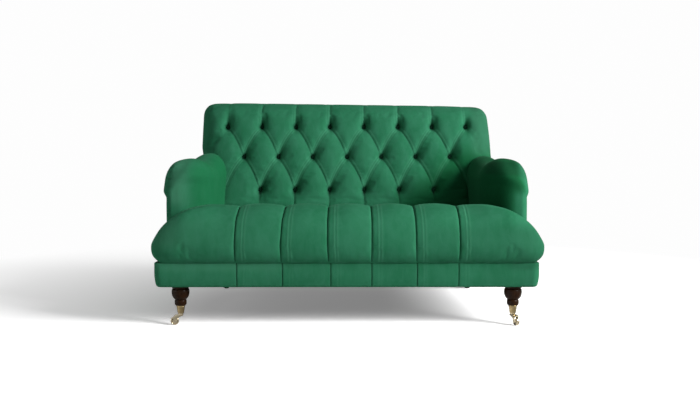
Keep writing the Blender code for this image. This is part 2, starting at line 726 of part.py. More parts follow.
def make_back_frame():
    """Posts, top rail and tuck rail of the back, and the panel that closes it behind."""
    post_levels = (RAIL_BOTTOM_Z, SEAM_Z, POST_TOP_Z)
    depth = (post_front_y, post_rear_y)
    for word, side in SIDES:
        timber("back_post_" + word, (side * POST_INNER_X, side * POST_OUTER_X), depth, post_levels)
    timber("back_top_rail", (-POST_OUTER_X, POST_OUTER_X), depth, (POST_TOP_Z + TOUCH, TOP_RAIL_TOP_Z))
    timber("back_tuck_rail", (TOUCH - POST_INNER_X, POST_INNER_X - TOUCH), depth,
           (TUCK_RAIL_Z, TUCK_RAIL_Z + TUCK_RAIL_HEIGHT))
    panel_front = lambda z: post_rear_y(z) + TOUCH
    panel = slab("outside_back_panel", (-POST_OUTER_X, POST_OUTER_X), (panel_front, back_outer_y),
                 (CUSHION_BOTTOM_Z, TOP_RAIL_TOP_Z), VELVET)
    add_bevel(panel, BORDER_THICK / 4, 2)


def arm_board_middle(y):
    """The line of the arm board, which runs in from the arm's nose to the back post."""
    share = clamp((y - STUMP_FRONT_Y) / (post_front_y(ARM_ROLL_EDGE_Z) - STUMP_FRONT_Y))
    nose = half_width(STUMP_FRONT_Y) - ARM_BOARD_INSET - ARM_BOARD_WIDTH / 2
    return mix(nose, (POST_INNER_X + POST_OUTER_X) / 2, share)


def board_edges(side, gap=0.0):
    """The two edges of an arm board, as functions of y."""
    half = ARM_BOARD_WIDTH / 2 + gap
    return lambda y: side * (arm_board_middle(y) - half), lambda y: side * (arm_board_middle(y) + half)


def board_slot(side):
    """The room for an arm board where it passes through the cushions to the back post."""
    near, far = board_edges(side, TOUCH)
    levels = (ARM_ROLL_EDGE_Z, ARM_ROLL_EDGE_Z + ARM_BOARD_THICK + 3 * TOUCH)

    def shape(u, y, z):
        return Vector((mix(near(y), far(y), u), y, z))

    joint = post_front_y(ARM_ROLL_EDGE_Z)
    ys = (STUMP_FRONT_Y - TOUCH, joint, joint + OVERRUN)
    mesh = gridded_mesh("board_slot", (0.0, 1.0), ys, levels, shape)
    return as_guide(finish_object("board_slot", mesh, BEECH))


def arm_room(name, side, inset, rear):
    """Room under an arm's roll, from a line this far inside the base's side to the open air."""
    inner = side_line(side, inset)

    def shape(u, v, z):
        y = mix(STUMP_FRONT_Y - TOUCH, rear(z) + OVERRUN, v)
        return Vector((mix(inner(y), side * (half_width(y) + OVERRUN), u), y, z))

    levels = (CUSHION_BOTTOM_Z - OVERRUN, ARM_ROLL_EDGE_Z + TOUCH)
    mesh = gridded_mesh(name, (0.0, 1.0), (0.0, 1.0), levels, shape)
    return as_guide(finish_object(name, mesh, BEECH))


def back_room():
    """The room that the back cushion takes between the arms, and everything above and below it."""
    half = BACK_HALF_WIDTH + TOUCH

    def shape(u, v, z):
        return Vector((u * half, mix(back_face_y(z) - TOUCH, back_outer_y(z) + OVERRUN, v), z))

    levels = (CUSHION_BOTTOM_Z - OVERRUN, SEAM_Z, BACK_TOP_Z)
    mesh = gridded_mesh("back_room", (-1.0, 1.0), (0.0, 1.0), levels, shape)
    return as_guide(finish_object("back_room", mesh, BEECH))


def make_arm_cushion(word, side):
    """The padded arm: a soft round nose, a rolled top that dips and rises, and a tail beside the back."""
    low = (0.0, 0.0, CUSHION_BOTTOM_Z)
    high = (ARM_WIDTH, ARM_LENGTH, ARM_TOP_Z)
    half = ARM_WIDTH / 2
    top_inner = ARM_TOP_Z - ARM_TOP_ROLL_Z
    xs = [*reversed(roll_places(half, 0.0, 3)), half, *roll_places(half, ARM_WIDTH, 3)]
    ys = [*reversed(roll_places(ARM_NOSE_ROLL_Y, 0.0, 3)), ARM_NOSE_ROLL_Y]
    ys += [mix(ARM_NOSE_ROLL_Y, ARM_LENGTH, i / 5) for i in range(1, 6)]
    zs = [CUSHION_BOTTOM_Z, ARM_ROLL_EDGE_Z - ARM_OVERHANG, ARM_ROLL_EDGE_Z, top_inner]
    zs += roll_places(top_inner, ARM_TOP_Z, 3)

    def shape(x, y, z):
        place, out = rounded((x, y, z), low, high, (half, ARM_NOSE_ROLL_Y, 0.0), (half, 0.0, ARM_TOP_ROLL_Z))
        world_y = mix(ARM_FRONT_Y, back_outer_y(place.z), place.y / ARM_LENGTH)
        along = clamp((world_y - ARM_FRONT_Y) / (back_face_y(place.z) - ARM_FRONT_Y))
        raised = clamp((place.z - ARM_ROLL_EDGE_Z) / (ARM_TOP_Z - ARM_ROLL_EDGE_Z))
        dip = ARM_DIP * math.sin(math.pi * along) ** 2
        place.z += (ARM_REAR_RISE * smooth_step(along) - dip) * raised
        inset = ARM_WIDTH - ARM_OVERHANG - place.x
        if z < ARM_ROLL_EDGE_Z and out.x > 0:
            inset += ARM_OVERHANG * out.x
        return Vector((side * (half_width(world_y) - inset), world_y, place.z))

    name = "arm_cushion_" + word
    mesh = gridded_mesh(name, xs, ys, zs, shape)
    dissolve_flat(mesh)
    obj = finish_object(name, mesh, VELVET)
    cut(obj, back_room())
    cut(obj, arm_room("arm_shell", side, ARM_SHELL_INSET, back_face_y))
    cut(obj, arm_room("panel_room", side, ARM_PANEL_THICK + TOUCH, back_outer_y))
    cut(obj, board_slot(side))


def make_arm_frame(word, side):
    """An arm's stump and board, and the panel that closes its outside."""
    z_board = ARM_ROLL_EDGE_Z + 2 * TOUCH
    board_y = (STUMP_FRONT_Y, lambda z: post_front_y(z) - TOUCH)
    timber("arm_board_" + word, board_edges(side), board_y, (z_board, z_board + ARM_BOARD_THICK), slices=2)
    outer = max(BORDER_THICK, ARM_PANEL_THICK) + TOUCH
    timber("arm_stump_" + word, (side_line(side, outer), side_line(side, outer + ARM_STUMP_WIDTH)),
           (STUMP_FRONT_Y, STUMP_FRONT_Y + ARM_STUMP_DEPTH), (RAIL_TOP_Z + TOUCH, z_board - TOUCH))
    panel_x = (side_line(side, 0.0), side_line(side, ARM_PANEL_THICK))
    panel = slab("outside_arm_panel_" + word, panel_x, (STUMP_FRONT_Y, back_outer_y),
                 (CUSHION_BOTTOM_Z, ARM_ROLL_EDGE_Z - TOUCH), VELVET)
    add_bevel(panel, ARM_PANEL_THICK / 4, 2)


def make_front_leg(word, side):
    """A turned leg: flange, groove, bulb, neck and collar, and the spigot that its cup holds."""
    height = LEG_TOP_Z - CUP_TOP_Z - TOUCH
    turning = [
        (radius * FRONT_LEG_RADIUS, CUP_TOP_Z + TOUCH + share * height)
        for radius, share in FRONT_LEG_OUTLINE_SHARES
    ]
    wall = CUP_WALL + TOUCH
    spigot = [
        (CUP_TOP_RADIUS - wall, CUP_TOP_Z + TOUCH),
        (CUP_BOTTOM_RADIUS - wall, CUP_BOTTOM_Z + CUP_FLOOR + TOUCH),
    ]
    profile = [(0.0, LEG_TOP_Z), *turning, *spigot, (0.0, spigot[-1][1])]
    leg = turned("front_leg_" + word, profile, DARK_WOOD, TURNING_STEPS)
    leg.location = (side * FRONT_LEG_X, FRONT_LEG_Y, 0.0)


def make_rear_leg(word, side):
    """A square tapered leg that sweeps back behind the sofa, on a round glide."""
    glide_top = GLIDE_THICK + TOUCH
    top_y = BASE_REAR_Y - REAR_LEG_INSET

    def shape(u, v, z):
        share = (z - glide_top) / (LEG_TOP_Z - glide_top)
        half = mix(REAR_LEG_FOOT_SIZE, REAR_LEG_TOP_SIZE, share) / 2
        sweep = REAR_LEG_KICK * (1.0 - share) ** REAR_LEG_SWEEP_SHARE
        middle_x = side * mix(REAR_LEG_FOOT_X, REAR_LEG_X, share)
        return Vector((middle_x + u * half, top_y + sweep + v * half, z))

    levels = [mix(glide_top, LEG_TOP_Z, i / REAR_LEG_RINGS) for i in range(REAR_LEG_RINGS + 1)]
    name = "rear_leg_" + word
    leg = finish_object(name, gridded_mesh(name, (-1.0, 1.0), (-1.0, 1.0), levels, shape), DARK_WOOD)
    edges = add_bevel(leg, LEG_EDGE, 1)
    edges.angle_limit = math.radians(50.0)
    rim = GLIDE_THICK / 4
    profile = [(0.0, GLIDE_THICK), (GLIDE_RADIUS, GLIDE_THICK), (GLIDE_RADIUS, rim),
               (GLIDE_RADIUS - rim, 0.0), (0.0, 0.0)]
    glide = turned("rear_glide_" + word, profile, NYLON, CASTOR_STEPS)
    glide.location = (side * REAR_LEG_FOOT_X, top_y + REAR_LEG_KICK, 0.0)


def make_castor_cup(word, side):
    """The tapered brass cup on a front leg, with a bore in its floor for the castor's pivot."""
    bore = PIVOT_RADIUS + RUNNING_GAP
    profile = [
        (CUP_TOP_RADIUS, CUP_TOP_Z),
        (CUP_TOP_RADIUS + CUP_RIM, CUP_TOP_Z - CUP_RIM),
        (CUP_TOP_RADIUS + CUP_RIM, CUP_TOP_Z - 3 * CUP_RIM),
        (CUP_TOP_RADIUS - CUP_RIM, CUP_TOP_Z - 4 * CUP_RIM),
        (CUP_BOTTOM_RADIUS, CUP_BOTTOM_Z),
        (bore, CUP_BOTTOM_Z),
        (bore, CUP_BOTTOM_Z + CUP_FLOOR),
        (CUP_BOTTOM_RADIUS - CUP_WALL, CUP_BOTTOM_Z + CUP_FLOOR),
        (CUP_TOP_RADIUS - CUP_WALL, CUP_TOP_Z),
    ]
    cup = turned("castor_cup_" + word, profile, BRASS, TURNING_STEPS, closed=True)
    cup.location = (side * FRONT_LEG_X, FRONT_LEG_Y, 0.0)


def castor_pivot(word, side, heading_deg):
    """An empty on the castor's upright axis, whose X axis points to where the wheel trails."""
    pivot = bpy.data.objects.new("castor_pivot_" + word, None)
    parts.objects.link(pivot)
    pivot.location = (side * FRONT_LEG_X, FRONT_LEG_Y, 0.0)
    pivot.rotation_euler = (0.0, 0.0, math.radians(heading_deg))
    return pivot


def guide_cylinder(name, radius, depth, middle, upright, pivot):
    """A cylinder that a castor's horn is cut or joined with."""
    bm = bmesh.new()
    bmesh.ops.create_cone(bm, cap_ends=True, segments=CASTOR_STEPS, radius1=radius, radius2=radius, depth=depth)
    mesh = bpy.data.meshes.new(name)
    bm.to_mesh(mesh)
    bm.free()
    obj = as_guide(finish_object(name, mesh, BRASS))
    obj.parent = pivot
    obj.location = middle
    obj.rotation_euler = (0.0 if upright else math.pi / 2, 0.0, 0.0)
    return obj


def horn_outline():
    """The side of a horn: a flat top under the cup that sweeps down to round cheeks at the axle."""
    top = CUP_BOTTOM_Z - TOUCH - PIVOT_HEAD_HEIGHT / 2
    drop = top - WHEEL_RADIUS
    end = CHEEK_END_RADIUS
    upper = [(along * CASTOR_TRAIL, WHEEL_RADIUS + up * drop) for along, up in HORN_UPPER_SHARES]
    lower = [(along * CASTOR_TRAIL, WHEEL_RADIUS + up * drop) for along, up in HORN_LOWER_SHARES]
    cheek = arc((CASTOR_TRAIL, WHEEL_RADIUS), (end, end), 10, -190, 8)
    return upper + cheek + lower


def make_castor(word, side, heading_deg):
    """A castor that swivels under its cup: a two-cheeked horn, its axle and the wheel."""
    pivot = castor_pivot(word, side, heading_deg)
    slot_width = WHEEL_WIDTH + 2 * WHEEL_SIDE_GAP
    horn_width = slot_width + 2 * CHEEK_THICK
    horn = plate("castor_horn_" + word, horn_outline(), horn_width, BRASS)
    horn.parent = pivot
    horn.rotation_euler = (math.pi / 2, 0.0, 0.0)
    axle_place = (CASTOR_TRAIL, 0.0, WHEEL_RADIUS)
    head_top = CUP_BOTTOM_Z - TOUCH
    pin_top = CUP_BOTTOM_Z + CUP_FLOOR - TOUCH
    pin_foot = head_top - PIVOT_HEAD_HEIGHT / 2
    head = guide_cylinder("pivot_head_" + word, PIVOT_HEAD_RADIUS, PIVOT_HEAD_HEIGHT,
                          (0.0, 0.0, head_top - PIVOT_HEAD_HEIGHT / 2), True, pivot)
    pin = guide_cylinder("pivot_pin_" + word, PIVOT_RADIUS, pin_top - pin_foot,
                         (0.0, 0.0, (pin_top + pin_foot) / 2), True, pivot)
    slot = guide_cylinder("wheel_slot_" + word, WHEEL_RADIUS + WHEEL_TOP_GAP, slot_width, axle_place, False, pivot)
    bore = guide_cylinder("axle_bore_" + word, AXLE_RADIUS + TOUCH, horn_width + OVERRUN, axle_place, False, pivot)
    join(horn, head)
    join(horn, pin)
    cut(horn, slot)
    cut(horn, bore)
    half = horn_width / 2 + TOUCH
    head_end = half + AXLE_HEAD_THICK
    profile = [(0.0, head_end), (AXLE_HEAD_RADIUS, head_end), (AXLE_HEAD_RADIUS, half), (AXLE_RADIUS, half)]
    profile += [(radius, -z) for radius, z in reversed(profile)]
    wheel_bore = AXLE_RADIUS + RUNNING_GAP
    rim = WHEEL_WIDTH / 2
    tyre = [
        (wheel_bore, rim),
        (WHEEL_RADIUS - 2 * WHEEL_EDGE, rim),
        (WHEEL_RADIUS - WHEEL_EDGE / 3, rim - WHEEL_EDGE / 3),
        (WHEEL_RADIUS, rim - WHEEL_EDGE),
    ]
    tyre += [(radius, -z) for radius, z in reversed(tyre)]
    axle = turned("castor_axle_" + word, profile, BRASS, CASTOR_STEPS)
    wheel = turned("castor_wheel_" + word, tyre, BRASS, TURNING_STEPS, closed=True)
    for obj in (axle, wheel):
        obj.parent = pivot
        obj.location = axle_place
        obj.rotation_euler = (math.pi / 2, 0.0, 0.0)


def clear_scene():
    """Empties the scene of objects."""
    for obj in list(bpy.data.objects):
        bpy.data.objects.remove(obj, do_unlink=True)


def make_sofa():
    """Makes every piece of the sofa."""
    make_base_border()
    make_base_frame()
    make_seat_cushion()
    make_back_frame()
    make_back_cushion()
    make_buttons()
    for word, side in SIDES:
        make_arm_frame(word, side)
        make_arm_cushion(word, side)
        make_front_leg(word, side)
        make_castor_cup(word, side)
        make_rear_leg(word, side)
    make_castor("left", LEFT, LEFT_CASTOR_HEADING_DEG)
    make_castor("right", RIGHT, RIGHT_CASTOR_HEADING_DEG)


clear_scene()
parts = bpy.data.collections.new("tufted_sofa")
cutters = bpy.data.collections.new("cutters")
bpy.context.scene.collection.children.link(parts)
bpy.context.scene.collection.children.link(cutters)
cutters.hide_render = True
make_sofa()
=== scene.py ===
"""Dresses a two-seat, deep-buttoned velvet sofa and sets it on a pale studio floor.

Metres, +Z up, +Y towards the back of the sofa. Run it as a script in Blender.
"""

import json
import math

import bpy
import numpy as np
from bpy.props import FloatProperty, FloatVectorProperty, PointerProperty
from mathutils import Matrix, Vector


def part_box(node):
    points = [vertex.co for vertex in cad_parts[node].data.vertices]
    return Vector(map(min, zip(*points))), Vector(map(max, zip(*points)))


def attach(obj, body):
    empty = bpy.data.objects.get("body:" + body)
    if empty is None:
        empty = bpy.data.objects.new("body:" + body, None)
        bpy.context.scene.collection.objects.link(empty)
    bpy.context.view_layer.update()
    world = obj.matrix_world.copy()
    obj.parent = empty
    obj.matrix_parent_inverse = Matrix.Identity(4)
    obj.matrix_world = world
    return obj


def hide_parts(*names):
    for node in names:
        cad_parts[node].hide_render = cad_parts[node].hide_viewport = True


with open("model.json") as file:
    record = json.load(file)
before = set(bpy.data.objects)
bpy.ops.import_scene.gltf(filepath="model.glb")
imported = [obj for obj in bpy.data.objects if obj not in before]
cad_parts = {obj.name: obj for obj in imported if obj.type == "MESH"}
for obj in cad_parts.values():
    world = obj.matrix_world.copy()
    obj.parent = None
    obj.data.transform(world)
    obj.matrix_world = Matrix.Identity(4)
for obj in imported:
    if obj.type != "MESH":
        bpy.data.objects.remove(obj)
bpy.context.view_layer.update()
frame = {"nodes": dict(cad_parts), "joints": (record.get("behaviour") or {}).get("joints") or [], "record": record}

bl_info = {
    "name": "Buttoned Sofa",
    "version": (1, 0, 0),
    "blender": (4, 5, 0),
    "location": "View3D > Sidebar > Sofa",
    "description": "Upholsters a two-seat buttoned sofa, turns its legs and castors, and lights it",
    "category": "Object",
}

SIDES = (("left", -1.0), ("right", 1.0))
MM = 0.001
CLEAR = 0.3 * MM
VELVET = "brushed_cotton_velvet"
WOOD = "dark_stained_lacquered_hardwood"

# Places that the frame gives
BORDER_LOW, BORDER_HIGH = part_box("base_border")
SEAT_LOW, SEAT_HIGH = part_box("seat_cushion")
BACK_LOW, BACK_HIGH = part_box("back_cushion")
PANEL_LOW, PANEL_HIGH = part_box("outside_back_panel")
ARM_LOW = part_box("arm_cushion_right")[0]
ARM_PANEL_LOW, ARM_PANEL_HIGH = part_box("outside_arm_panel_right")

# The base's plan, which narrows towards the back
BASE_FRONT_Y = BORDER_LOW.y
BASE_REAR_Y = BORDER_HIGH.y
TAPER = 0.0625 / 0.855
TAPER_STRETCH = math.hypot(1.0, TAPER)
FRONT_HALF_WIDTH = 0.7475

# The seat: its levels, its ends and how it rolls over at the front, the top and the ends
SEAM_Z = BORDER_HIGH.z
SEAT_TOP_Z = 0.462
SEAT_LEFT = SEAT_LOW.x + 0.015
SEAT_RIGHT = SEAT_HIGH.x - 0.007
SEAT_FRONT_Y = BASE_FRONT_Y - 0.025
SEAT_FRONT_ROLL, SEAT_TOP_ROLL, SEAT_END_ROLL = 0.135, 0.140, 0.158
SEAT_INNER_Y = SEAT_FRONT_Y + SEAT_FRONT_ROLL
SEAT_TUCK = 0.062
TUCK_Z = SEAT_LOW.z + SEAT_TUCK
EAR_REAR_Y = -0.274 - 2 * CLEAR
HELD_BEHIND_Y = -0.30

# Where the six pleats lie across the seat: at the seam, down the front, on the crown and at the back
PLEAT_LEVELS = (0.0, 0.35, 0.8, 1.0, 2.0)
PLEAT_X = (
    (-0.4270, -0.4290, -0.4260, -0.4190, -0.3900),
    (-0.2510, -0.2540, -0.2480, -0.2400, -0.2340),
    (-0.0680, -0.0740, -0.0740, -0.0720, -0.0780),
    (0.0950, 0.0960, 0.0960, 0.0940, 0.0780),
    (0.2690, 0.2660, 0.2640, 0.2600, 0.2340),
    (0.4310, 0.4330, 0.4320, 0.4290, 0.3900),
)
CROWN_PLEATS = np.array([row[2] for row in PLEAT_X])
BORDER_PLEAT_X = (-0.4240, -0.2480, -0.0620, 0.0960, 0.2710, 0.4310)

# The back's rake in degrees, its layers and its buttons
BACK_FACE_Y = 0.099
BACK_EASE = 0.003
FACE_RAKE = 22.0
FACE_SLOPE = math.tan(math.radians(FACE_RAKE))
OUTER_SLOPE = math.tan(math.radians(8.0))
PAD_THICK, POST_THICK, PANEL_THICK = 0.033, 0.045, 0.022
DIAMOND_WIDTH = 0.154
FOLD_SPACING = 134.0 * MM
BUTTON_ROW_Z = (0.4950, 0.6390, 0.7720)
BUTTONS_IN_LOWEST_ROW = 6
TUFT_DEPTH = 0.038

# The arms' section
ARM_WIDTH, ARM_TOP_Z = 0.185, 0.651
ARM_OVERHANG, ARM_EDGE_Z = 0.014, 0.502
ARM_FRONT_Y = BASE_FRONT_Y + 0.180
ARM_PANEL_THICK = 0.016

# The band round the base: its thickness and the round of its lower edge
BAND_WALL, BAND_EDGE = 0.022, 0.009

PAPER_WHITE = (0.985, 0.985, 0.985)


def srgb(code):
    """The linear colour of an sRGB hex value such as 2B6E4D."""
    values = [int(code[i:i + 2], 16) / 255.0 for i in (0, 2, 4)]
    return tuple(v / 12.92 if v <= 0.04045 else ((v + 0.055) / 1.055) ** 2.4 for v in values)


def smooth(value):
    """A share that eases out of 0 and into 1."""
    share = np.clip(value, 0.0, 1.0)
    return share * share * (3.0 - 2.0 * share)


def mix(start, end, share):
    """The value at this share of the way from start to end."""
    return start + (end - start) * share


def hump(value, centre, width):
    """A soft ridge that is 1 at its centre."""
    return np.exp(-((value - centre) / width) ** 2)


def half_width(y):
    """Half the base's width at y."""
    return FRONT_HALF_WIDTH - TAPER * (y - BASE_FRONT_Y)


def back_face_y(z):
    """The raked plane of the back's front."""
    return BACK_FACE_Y + FACE_SLOPE * (z - SEAT_TOP_Z)


def back_outer_y(z):
    """The outside of the back: upright in the base, raked above it."""
    return BASE_REAR_Y + OUTER_SLOPE * np.maximum(z - SEAM_Z, 0.0)


def padded_face_y(x, z):
    """The back's padded face, which leans away towards its ends like a pillow."""
    lean = np.where(x > 0, 0.030, 0.044)
    return back_face_y(z) + BACK_EASE + lean * np.clip((np.abs(x) - BACK_HIGH.x + 0.160) / 0.160, 0.0, 1.0) ** 2


def roll(inner, outer, steps):
    """Grid lines over the near half of a rounded edge, the start not included."""
    angles = np.radians(45.0) * np.arange(1, steps + 1) / steps
    return list(inner + (outer - inner) * np.tan(angles))


def spread(start, end, steps):
    """Grid lines from start to end, the start not included."""
    return list(start + (end - start) * np.arange(1, steps + 1) / steps)


def box_grid(xs, ys, zs):
    """The surface of a box that has a grid line at each given place: points and outward quads."""
    counts = (len(xs), len(ys), len(zs))
    i, j, k = np.meshgrid(*(np.arange(n) for n in counts), indexing="ij")
    skin = (i == 0) | (i == counts[0] - 1) | (j == 0) | (j == counts[1] - 1) | (k == 0) | (k == counts[2] - 1)
    number = np.full(counts, -1)
    number[skin] = np.arange(skin.sum())
    points = np.stack([np.asarray(xs)[i[skin]], np.asarray(ys)[j[skin]], np.asarray(zs)[k[skin]]], axis=1)
    quads = []
    for axis in range(3):
        for end in (0, -1):
            sheet = np.take(number, end, axis=axis)
            quad = np.stack([sheet[:-1, :-1], sheet[1:, :-1], sheet[1:, 1:], sheet[:-1, 1:]], axis=-1).reshape(-1, 4)
            outward = (end == -1) ^ (axis == 1)
            quads.append(quad if outward else quad[:, ::-1])
    return points, np.concatenate(quads)


def rounded(points, low, high, low_roll, high_roll):
    """Moves points of a box's surface to its rounded surface; also gives their outward direction."""
    low_roll, high_roll = np.stack(low_roll, axis=1), np.stack(high_roll, axis=1)
    nearest = np.clip(points, np.asarray(low) + low_roll, np.asarray(high) - high_roll)
    rolls = np.where(points < nearest, low_roll, high_roll)
    lean = np.divide(points - nearest, rolls, out=np.zeros_like(points), where=rolls > 0)
    largest = np.abs(lean).max(axis=1, keepdims=True)
    length = np.linalg.norm(lean, axis=1, keepdims=True)
    out = lean * np.divide(largest, length, out=np.zeros_like(length), where=length > 0)
    return nearest + out * rolls, out


def new_mesh_object(name, points, faces):
    """An object from arrays of points and faces, with smooth shading."""
    mesh = bpy.data.meshes.new(name)
    mesh.from_pydata([tuple(p) for p in points.tolist()], [], [tuple(f) for f in faces.tolist()])
    mesh.update()
    obj = bpy.data.objects.new(name, mesh)
    bpy.context.scene.collection.objects.link(obj)
    mesh.shade_smooth()
    return obj


def only(obj):
    """Leaves this object alone selected and active."""
    bpy.ops.object.select_all(action="DESELECT")
    obj.select_set(True)
    bpy.context.view_layer.objects.active = obj


def places(obj):
    """The object's points as an array."""
    co = np.empty(len(obj.data.vertices) * 3)
    obj.data.vertices.foreach_get("co", co)
    return co.reshape(-1, 3)


def set_places(obj, points):
    """Moves the object's points."""
    obj.data.vertices.foreach_set("co", np.ascontiguousarray(points, dtype=np.float32).ravel())
    obj.data.update()


def paint(obj, name, values):
    """Stores a number on each point for the materials to read."""
    layer = obj.data.attributes.get(name) or obj.data.attributes.new(name, "FLOAT", "POINT")
    layer.data.foreach_set("value", np.ascontiguousarray(values, dtype=np.float32))


def painted(obj, name):
    """The numbers that paint() stored."""
    values = np.empty(len(obj.data.vertices), dtype=np.float32)
    obj.data.attributes[name].data.foreach_get("value", values)
    return values


def wander(points, scale, seed):
    """A smooth, fixed waviness between -1 and 1, with waves about this long."""
    rng = np.random.default_rng(seed)
    total = np.zeros(len(points))
    for _ in range(5):
        heading = rng.normal(size=3)
        heading /= np.linalg.norm(heading)
        total += np.sin(points @ heading * (2 * math.pi / scale) * rng.uniform(0.7, 1.4) + rng.uniform(0, 6.28))
    return total / 5.0


def inflate(obj, held, pressure, most, fullness):
    """Blows the cloth out by simulation where it isn't held, no further than the cap."""
    frames = 20
    start = places(obj)
    only(obj)
    group = obj.vertex_groups.new(name="held")
    for level in np.unique(np.round(held, 2)):
        if level > 0:
            members = np.nonzero(np.round(held, 2) == level)[0]
            group.add(members.tolist(), float(level), "REPLACE")
    cloth = obj.modifiers.new("cloth", "CLOTH")
    settings = {"quality": 5, "mass": 0.3, "tension_stiffness": 15.0, "compression_stiffness": 15.0,
                "shear_stiffness": 5.0, "bending_stiffness": 0.5, "use_pressure": True,
                "uniform_pressure_force": pressure, "shrink_min": -fullness, "vertex_group_mass": group.name,
                "pin_stiffness": 1.0}
    for name, value in settings.items():
        setattr(cloth.settings, name, value)
    cloth.settings.effector_weights.gravity = 0.0
    cloth.collision_settings.use_self_collision = False
    cloth.point_cache.frame_start = 1
    cloth.point_cache.frame_end = frames
    for number in range(1, frames + 1):
        bpy.context.scene.frame_set(number)
    bpy.ops.object.modifier_apply(modifier=cloth.name)
    bpy.context.scene.frame_set(1)
    obj.vertex_groups.clear()
    move = places(obj) - start
    length = np.linalg.norm(move, axis=1, keepdims=True)
    move *= np.minimum(1.0, most / np.maximum(length, 1e-9))
    set_places(obj, start + move * (1.0 - held[:, None]))


def refine(obj):
    """Applies one level of subdivision."""
    only(obj)
    step = obj.modifiers.new("finer", "SUBSURF")
    step.levels = 1
    step.render_levels = 1
    bpy.ops.object.modifier_apply(modifier=step.name)


def finish(obj, body, material, nodes):
    """Gives a piece its material, body and slot, and hides the solids that it stands for."""
    obj.data.materials.clear()
    obj.data.materials.append(finish_of(material))
    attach(obj, body)
    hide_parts(*nodes)


# ---------------------------------------------------------------- materials


def add_node(tree, kind, inputs=None, **settings):
    """Adds a node with its settings, and fills its inputs with values or other nodes' outputs."""
    node = tree.nodes.new(kind)
    for name, value in settings.items():
        setattr(node, name, value)
    for name, value in (inputs or {}).items():
        if isinstance(value, bpy.types.NodeSocket):
            tree.links.new(value, node.inputs[name])
        else:
            node.inputs[name].default_value = value
    return node


def new_material(name):
    """An empty material's tree, and where a point of the object lies."""
    material = bpy.data.materials.new(name)
    material.use_nodes = True
    tree = material.node_tree
    for node in list(tree.nodes):
        if node.type != "OUTPUT_MATERIAL":
            tree.nodes.remove(node)
    return tree, add_node(tree, "ShaderNodeTexCoord").outputs["Object"]


def put_out(tree, shader):
    """Feeds the shader to the material's output."""
    output = next(node for node in tree.nodes if node.type == "OUTPUT_MATERIAL")
    tree.links.new(shader.outputs[0], output.inputs["Surface"])


def principled(tree, inputs):
    """Ends the material with a principled surface."""
    put_out(tree, add_node(tree, "ShaderNodeBsdfPrincipled", inputs))


def opaque(colour):
    """A colour with full alpha."""
    return (*colour[:3], 1.0)


def noise(tree, place, scale, detail=2.0, roughness=0.5, distortion=0.0):
    """Cloudy variation, this many clouds to the metre."""
    return add_node(tree, "ShaderNodeTexNoise", {"Vector": place, "Scale": scale, "Detail": detail,
                                                 "Roughness": roughness, "Distortion": distortion}).outputs[0]


def stretch(tree, place, scale):
    """The place, scaled along each axis, so that a pattern runs along one of them."""
    return add_node(tree, "ShaderNodeMapping", {"Vector": place, "Scale": scale}).outputs[0]


def remap(tree, value, start, end, low=0.0, high=1.0):
    """The value, moved from start..end to low..high."""
    return add_node(tree, "ShaderNodeMapRange", {"Value": value, "From Min": start, "From Max": end,
                                                 "To Min": low, "To Max": high}).outputs[0]


def times(tree, first, second):
    """One value times another."""
    return add_node(tree, "ShaderNodeMath", {0: first, 1: second}, operation="MULTIPLY").outputs[0]


def blend(tree, share, first, second):
    """The first colour, turned into the second by a share."""
    first, second = (c if isinstance(c, bpy.types.NodeSocket) else opaque(c) for c in (first, second))
    return add_node(tree, "ShaderNodeMix", {0: share, 6: first, 7: second}, data_type="RGBA").outputs[2]


def two_tone(tree, value, *stops):
    """A colour ramp between two stops, each a position and a colour."""
    node = add_node(tree, "ShaderNodeValToRGB", {"Fac": value})
    for element, (position, code) in zip(node.color_ramp.elements, stops):
        element.position = position
        element.color = opaque(srgb(code))
    return node.outputs[0]


def bump(tree, height, strength, distance, **under):
    """Fine relief that only the light shows."""
    return add_node(tree, "ShaderNodeBump", {"Height": height, "Strength": strength, "Distance": distance,
                                             **under}).outputs[0]


def cotton_velvet(name, button):
    """Woven cotton velvet, dyed and brushed: matt, darker where the pile faces you, paler at a glance.

    The pile is too fine to show at this distance, so its bump is drawn at about 1.2 mm. The brushed
    patches are 80 to 200 mm long, and each fold keeps its own painted shade line. The buttons' velvet is plain
    and painted darker, as painted shade for the bottom of their wells.
    """
    look = bpy.context.scene.sofa_velvet
    # the buttons' velvet is painted darker all over: painted shade for the bottom of their wells
    painted_shade_factor = 0.14 if button else 1.0
    pile, brushed, rubbed, shade, fold = (tuple(painted_shade_factor * value for value in colour) for colour in (
        look.pile, look.brushed, look.rubbed, look.shade, look.fold))
    tree, place = new_material(name)
    streaks = noise(tree, stretch(tree, place, (1.0, 1.0, 0.35)), 38.0, 4.0, 0.6, 0.6)
    tips = noise(tree, place, 830.0, 2.0, 0.7)
    colour = blend(tree, remap(tree, noise(tree, place, 7.0, 3.0, 0.55), 0.35, 0.68), pile, brushed)
    colour = blend(tree, remap(tree, streaks, 0.35, 0.75, 0.0, 0.35), colour, rubbed)
    colour = blend(tree, remap(tree, tips, 0.3, 0.7, 0.0, 0.30), colour, shade)
    # the painted layers mix in a deeper, darker green (turned nap and painted shade), a paler green (painted
    # highlights and painted light) and the fold colour (painted shade)
    if not button:
        layers = (("nap_and_painted_shade", srgb("035A30")), ("painted_highlight", srgb("4F9273")), ("fold_depth", fold))
        for layer, towards in layers:
            share = add_node(tree, "ShaderNodeAttribute", attribute_name=layer).outputs["Fac"]
            colour = blend(tree, share, colour, towards)
    relief = bump(tree, streaks, 0.25, 0.002, Normal=bump(tree, tips, 0.25, 0.0006))
    principled(tree, {"Base Color": colour, "Roughness": 0.85, "IOR": 1.46,
                      "Specular IOR Level": 0.05 if button else 0.12, "Sheen Weight": 0.02 if button else 0.07,
                      "Sheen Roughness": 0.30, "Sheen Tint": opaque(srgb("7CC39D")), "Normal": relief})


